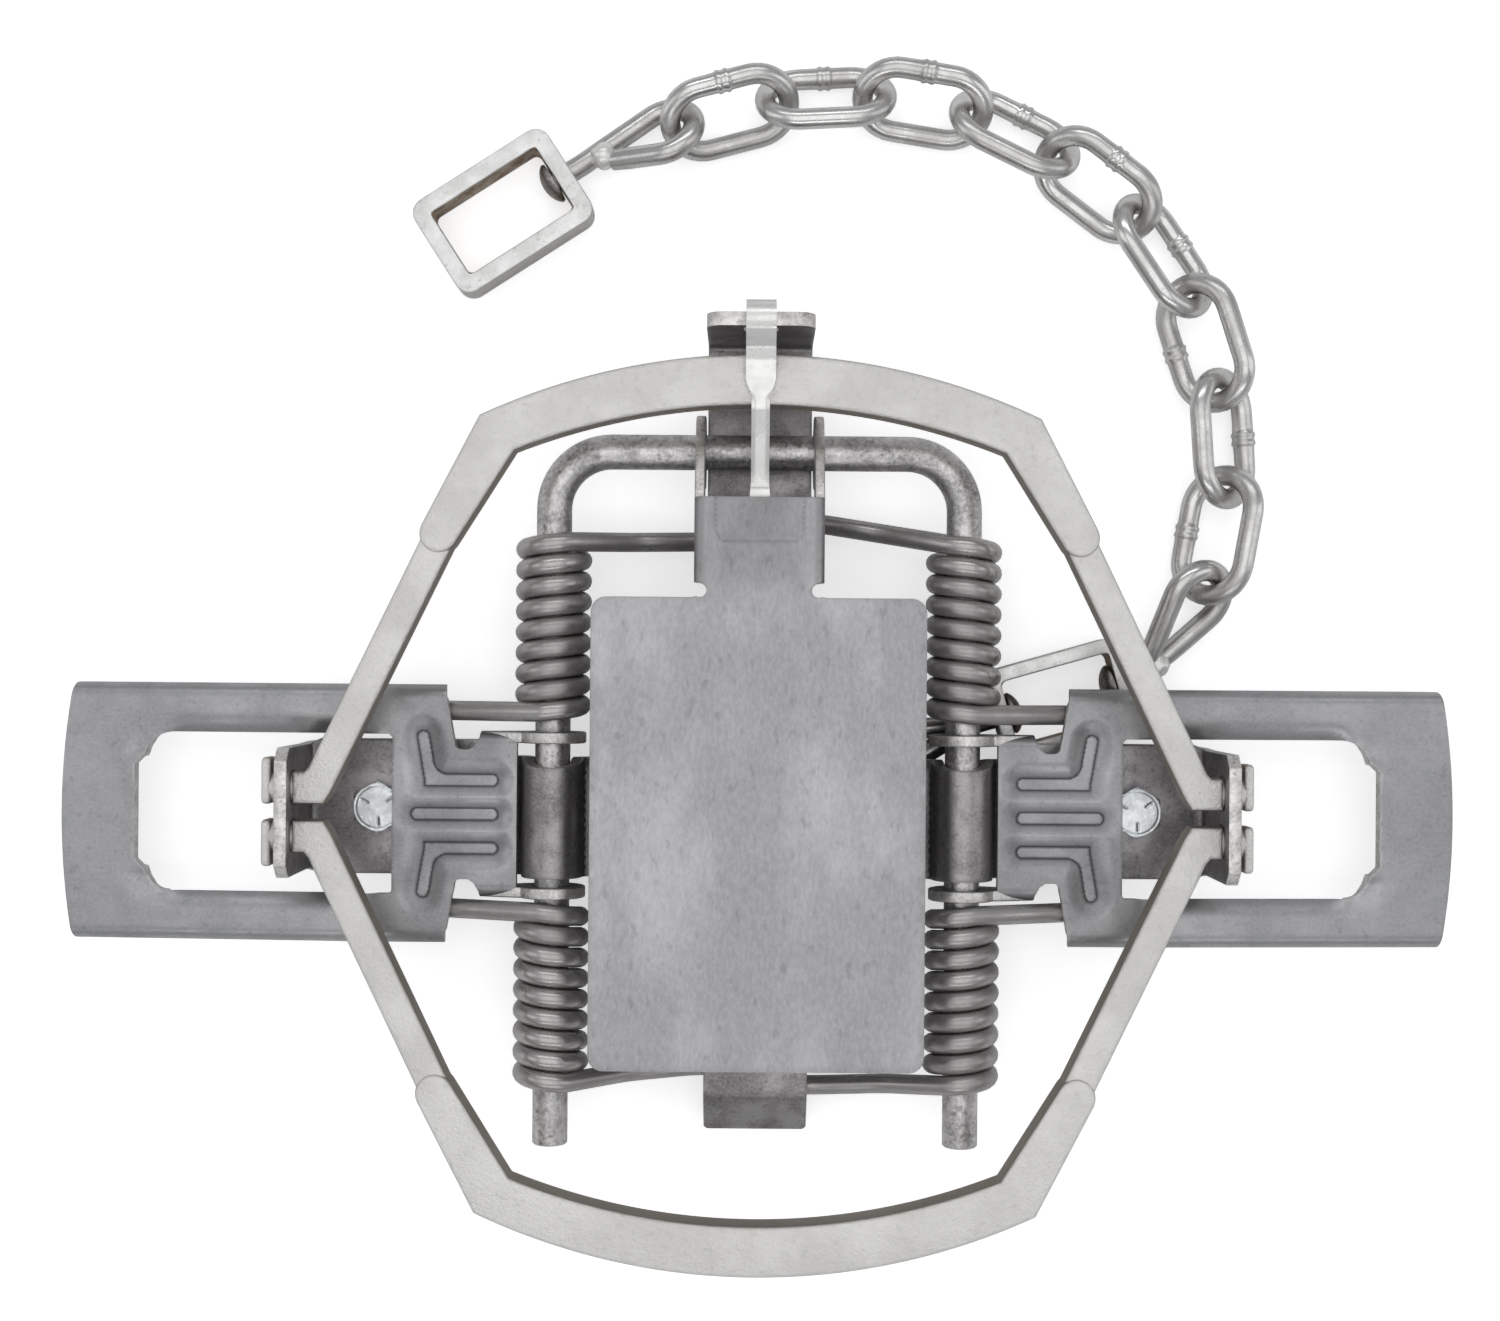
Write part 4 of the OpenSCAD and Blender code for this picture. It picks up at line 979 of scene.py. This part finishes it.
# %% Chain places
LINK_W, LINK_LEN, WIRE_LINK, SLACK, EYE_D, LINK_TIP = 22, 34.6, 5, 0.8, 5.2, 42
LINK_R = (LINK_W - WIRE_LINK) / 2
STRAIGHT = LINK_LEN - LINK_W
LINK_PITCH = STRAIGHT + 2 * LINK_R - WIRE_LINK - SLACK
CHAIN_Z = LINK_R * math.sin(math.radians(LINK_TIP)) + (WIRE_LINK + 0.8) / 2 + 0.1
RING_LEN, RING_W, RING_T, RING_H = 34, 23, 3.4, 9
RING_Z, RING_WALL = RING_H / 2 + 0.3, RING_LEN / 2 - RING_T
END_RING_LEN, END_RING_W, END_RING_T = 38.6, 26.2, 4.2
BOX_A, SHANK, EYE_R, EYE_TIP = 16, RING_T + 3.4, 7.6, LINK_TIP - 4
INNER_HOLE, INNER_REACH, INNER_TURN, INNER_R = (19.3, 9.2), 35.4, 3, 6.5
INNER_Z = 2.6 + 0.9 + EYE_D / 2
EYE_IN = EYE_R - EYE_D / 2 - SLACK / 2
OUTER_A, OUTER_LEN, END_A, END_BOX_A, END_LEN = 56, 23.3, 20, 33, 21.8
HEADINGS = [80, 94, 108, 124, 143, 154, 171, 183, 195]

def step_to(p, a, r):
    """The point at distance r from p in the direction of a degrees."""
    return p[0] + r * math.cos(math.radians(a)), p[1] + r * math.sin(math.radians(a))

inner_root = step_to(INNER_HOLE, BOX_A + INNER_TURN, INNER_REACH)
BOX_MID = step_to(inner_root, BOX_A, RING_WALL + SHANK + 2)
outer_root = step_to(BOX_MID, BOX_A, RING_WALL + SHANK)
outer_pitch = math.asin((CHAIN_Z - RING_Z) / (OUTER_LEN + EYE_IN))
joints = [step_to(outer_root, OUTER_A, (OUTER_LEN + EYE_IN) * math.cos(outer_pitch))]
for a in HEADINGS:
    joints.append(step_to(joints[-1], a, LINK_PITCH))
end_pitch = math.asin((CHAIN_Z - RING_Z) / (END_LEN + EYE_IN))
end_root = step_to(joints[-1], END_A + 180, (END_LEN + EYE_IN) * math.cos(end_pitch))
end_shank = END_RING_T + 3.4
end_wall = step_to(end_root, END_BOX_A + 180, end_shank)
end_mid = step_to(end_wall, END_BOX_A + 180, END_RING_LEN / 2 - END_RING_T)

def turned(a, axis):
    return Matrix.Rotation(math.radians(a), 4, axis)

def placed(p, z, a, tilt=0):
    """Tilted about its own length, turned by a, and moved to p, in millimetres."""
    return Matrix.Translation(Vector((*p, z))) @ turned(a, "Z") @ turned(tilt, "X")

def in_metres(m):
    out = m.copy()
    out.translation = m.translation * MM
    return out

# %% Links
def link_path():
    """Outline of a link, and its swell: two rings 0.95 mm either side of the weld."""
    half = STRAIGHT / 2
    low = [(-half + STRAIGHT * i / 22, -LINK_R) for i in range(23)]
    right = arc(half, 0, LINK_R, -90, 90, 18)[1:-1]
    top = [(half - STRAIGHT * i / 6, LINK_R) for i in range(7)]
    left = arc(-half, 0, LINK_R, 90, 270, 18)[1:-1]
    points = low + right + top + left
    swell = []
    for x, y in points:
        ridges = sum(math.exp(-((x - c) / 0.4) ** 2) for c in (-0.95, 0.95))
        bead = 0.2 * ridges + 0.05 * math.exp(-(x / 1.9) ** 2)
        swell.append(1 + (bead if y < -LINK_R + 0.1 else 0))
    return points, swell

INNER_WELD = (1, 3)
def make_link(i):
    points, swell = link_path()
    hand = -1 if i in INNER_WELD else 1
    heading, tip = HEADINGS[i - 1], LINK_TIP if i % 2 == 0 else -LINK_TIP
    m = placed(step_to(joints[i - 1], heading, LINK_PITCH / 2), CHAIN_Z, heading, tip)
    place = [tuple(m @ Vector((x, hand * y, 0))) for x, y in points]
    node = "link_%02d" % i
    return new_piece(node + "_wire", wire(place, WIRE_LINK / 2, 24, True, swell),
                     ["link_steel"], node, node, angle=60)

links = [make_link(i) for i in range(1, 10)]
count("link faces", *links)

# %% [markdown]
# A swivel eye is one wire: it is headed like a rivet inside the ring, runs out through the wall
# and bends round to a loop, whose end is held to the neck by a blob of weld. The head is a turned
# dome and the weld is a small lump roughened with noise.

# %% Swivel eyes
RIVET = [(-3.6, 0), (-3.5, 1.3), (-3.15, 2.6), (-2.6, 3.7), (-2.0, 4.5), (-1.4, 5.0),
         (-0.95, 5.15), (-0.5, 4.9), (-0.3, 3.6), (-0.3, 0)]
def lathe(profile, sides):
    """Solid of revolution round the X axis from (x, r) points; both ends close on the axis."""
    bm = bmesh.new()
    angles = [2 * math.pi * k / sides for k in range(sides)]
    skin(bm, [[bm.verts.new(Vector((x, r * math.cos(a), r * math.sin(a))) * MM) for a in angles]
              for x, r in profile])
    return cleaned(bm)

def lump(centre, radius, seed):
    """A blob of weld: a ball whose skin is moved by noise."""
    bm = bmesh.new()
    bmesh.ops.create_icosphere(bm, subdivisions=4, radius=radius * MM)
    for v in bm.verts:
        n = noise.noise(v.co * 420 + Vector((seed, 0, 0)))
        v.co = v.co * (1 + 0.16 * n) + Vector(centre) * MM
    return bm

def painted(bm, index):
    for f in bm.faces:
        f.material_index = index
    return bm

def make_eye(name, wall, heading_out, shank, length, r, turn, pitch, tilt, gap):
    """length runs from the shank to the middle of the loop, whose radius is r. gap is how far
    the loop's end stays from the neck; a weld fills it where it is more than 1."""
    at_wall = placed(wall, RING_Z, heading_out)
    root = (at_wall @ Matrix.Translation((shank, 0, 0)) @ turned(turn, "Z")
            @ Matrix.Rotation(-pitch, 4, "Y") @ turned(tilt, "X"))
    spread = math.degrees(math.asin(r / length))
    c, s = math.cos(math.radians(spread)), math.sin(math.radians(spread))
    leg = length * c
    loop = [(leg * c * t, leg * s * t) for t in (0.25, 0.5, 0.8, 0.97)]
    loop += arc(length, 0, r, 90 + spread, -90 - spread, 30)[1:-1]
    loop += [(leg * c * t, -leg * s * t) for t in (0.97, 0.8, 0.6, max(0.02, gap / leg))]
    points = [tuple(at_wall @ Vector((x, 0, 0))) for x in (-0.4, 1.5, shank * 0.6)]
    points += [tuple(root @ Vector((x, y, 0))) for x, y in [(0.3, 0)] + loop]
    path = softened(points[:6], 1.8, 4)[:-1] + points[5:]
    parts = [wire(path, EYE_D / 2, 24, thick=[1.0] * (len(path) - 1) + [0.93]),
             painted(moved(lathe(RIVET, 32), in_metres(at_wall)), 1)]
    if gap > 1:
        weld_at = root @ Vector((gap * 0.72, -gap * 0.16, EYE_D * 0.2))
        parts.append(painted(lump(weld_at, 3.2, gap), 2))
    return new_piece(name + "_wire", joined(*parts), ["eye_steel", "rivet_steel", "bright_dog"],
                     name, name, angle=50)

eyes = [
    make_eye("inner_eye", step_to(BOX_MID, BOX_A, -RING_WALL), BOX_A + 180, SHANK + 2,
             INNER_REACH - INNER_R, INNER_R, INNER_TURN,
             math.asin((INNER_Z - RING_Z) / INNER_REACH), 0, 0.5),
    make_eye("outer_eye", step_to(BOX_MID, BOX_A, RING_WALL), BOX_A, SHANK, OUTER_LEN, EYE_R,
             OUTER_A - BOX_A, outer_pitch, EYE_TIP, 6.4),
    make_eye("end_eye", end_wall, END_BOX_A, end_shank, END_LEN, EYE_R, END_A - END_BOX_A,
             end_pitch, -EYE_TIP, 8.2)]
count("eye faces", *eyes)

# %% [markdown]
# The rings at both ends are flat bar bent to a rectangle. The bar is bright, with an outer wall
# made greyer by painted shade, and brown on the inner wall, which was never cleaned.

# %% Box rings
def make_ring(node, mid, heading, length, width, bar):
    half, side = length / 2, width / 2
    bm = rounded_slab(along(rounded_rect(-half, half, -side, side, 3.8), 3),
                      [along(rounded_rect(bar - half, half - bar, bar - side, side - bar, 1.6), 3)],
                      -RING_H / 2, RING_H / 2, 0.45, 3)
    for f in bm.faces:
        c = f.calc_center_median() / MM
        within = abs(c.x) < half - bar + 0.02 and abs(c.y) < side - bar + 0.02
        f.material_index = 1 if within and abs(f.normal.z) < 0.5 else 0
    moved(bm, in_metres(placed(mid, RING_Z, heading)))
    return new_piece(node + "_bar", bm, ["bright_bar", "rusty_bar"], node, node, angle=30)

rings = [make_ring("inner_box", BOX_MID, BOX_A, RING_LEN, RING_W, RING_T),
         make_ring("end_box", end_mid, END_BOX_A, END_RING_LEN, END_RING_W, END_RING_T)]
count("ring faces", *rings)
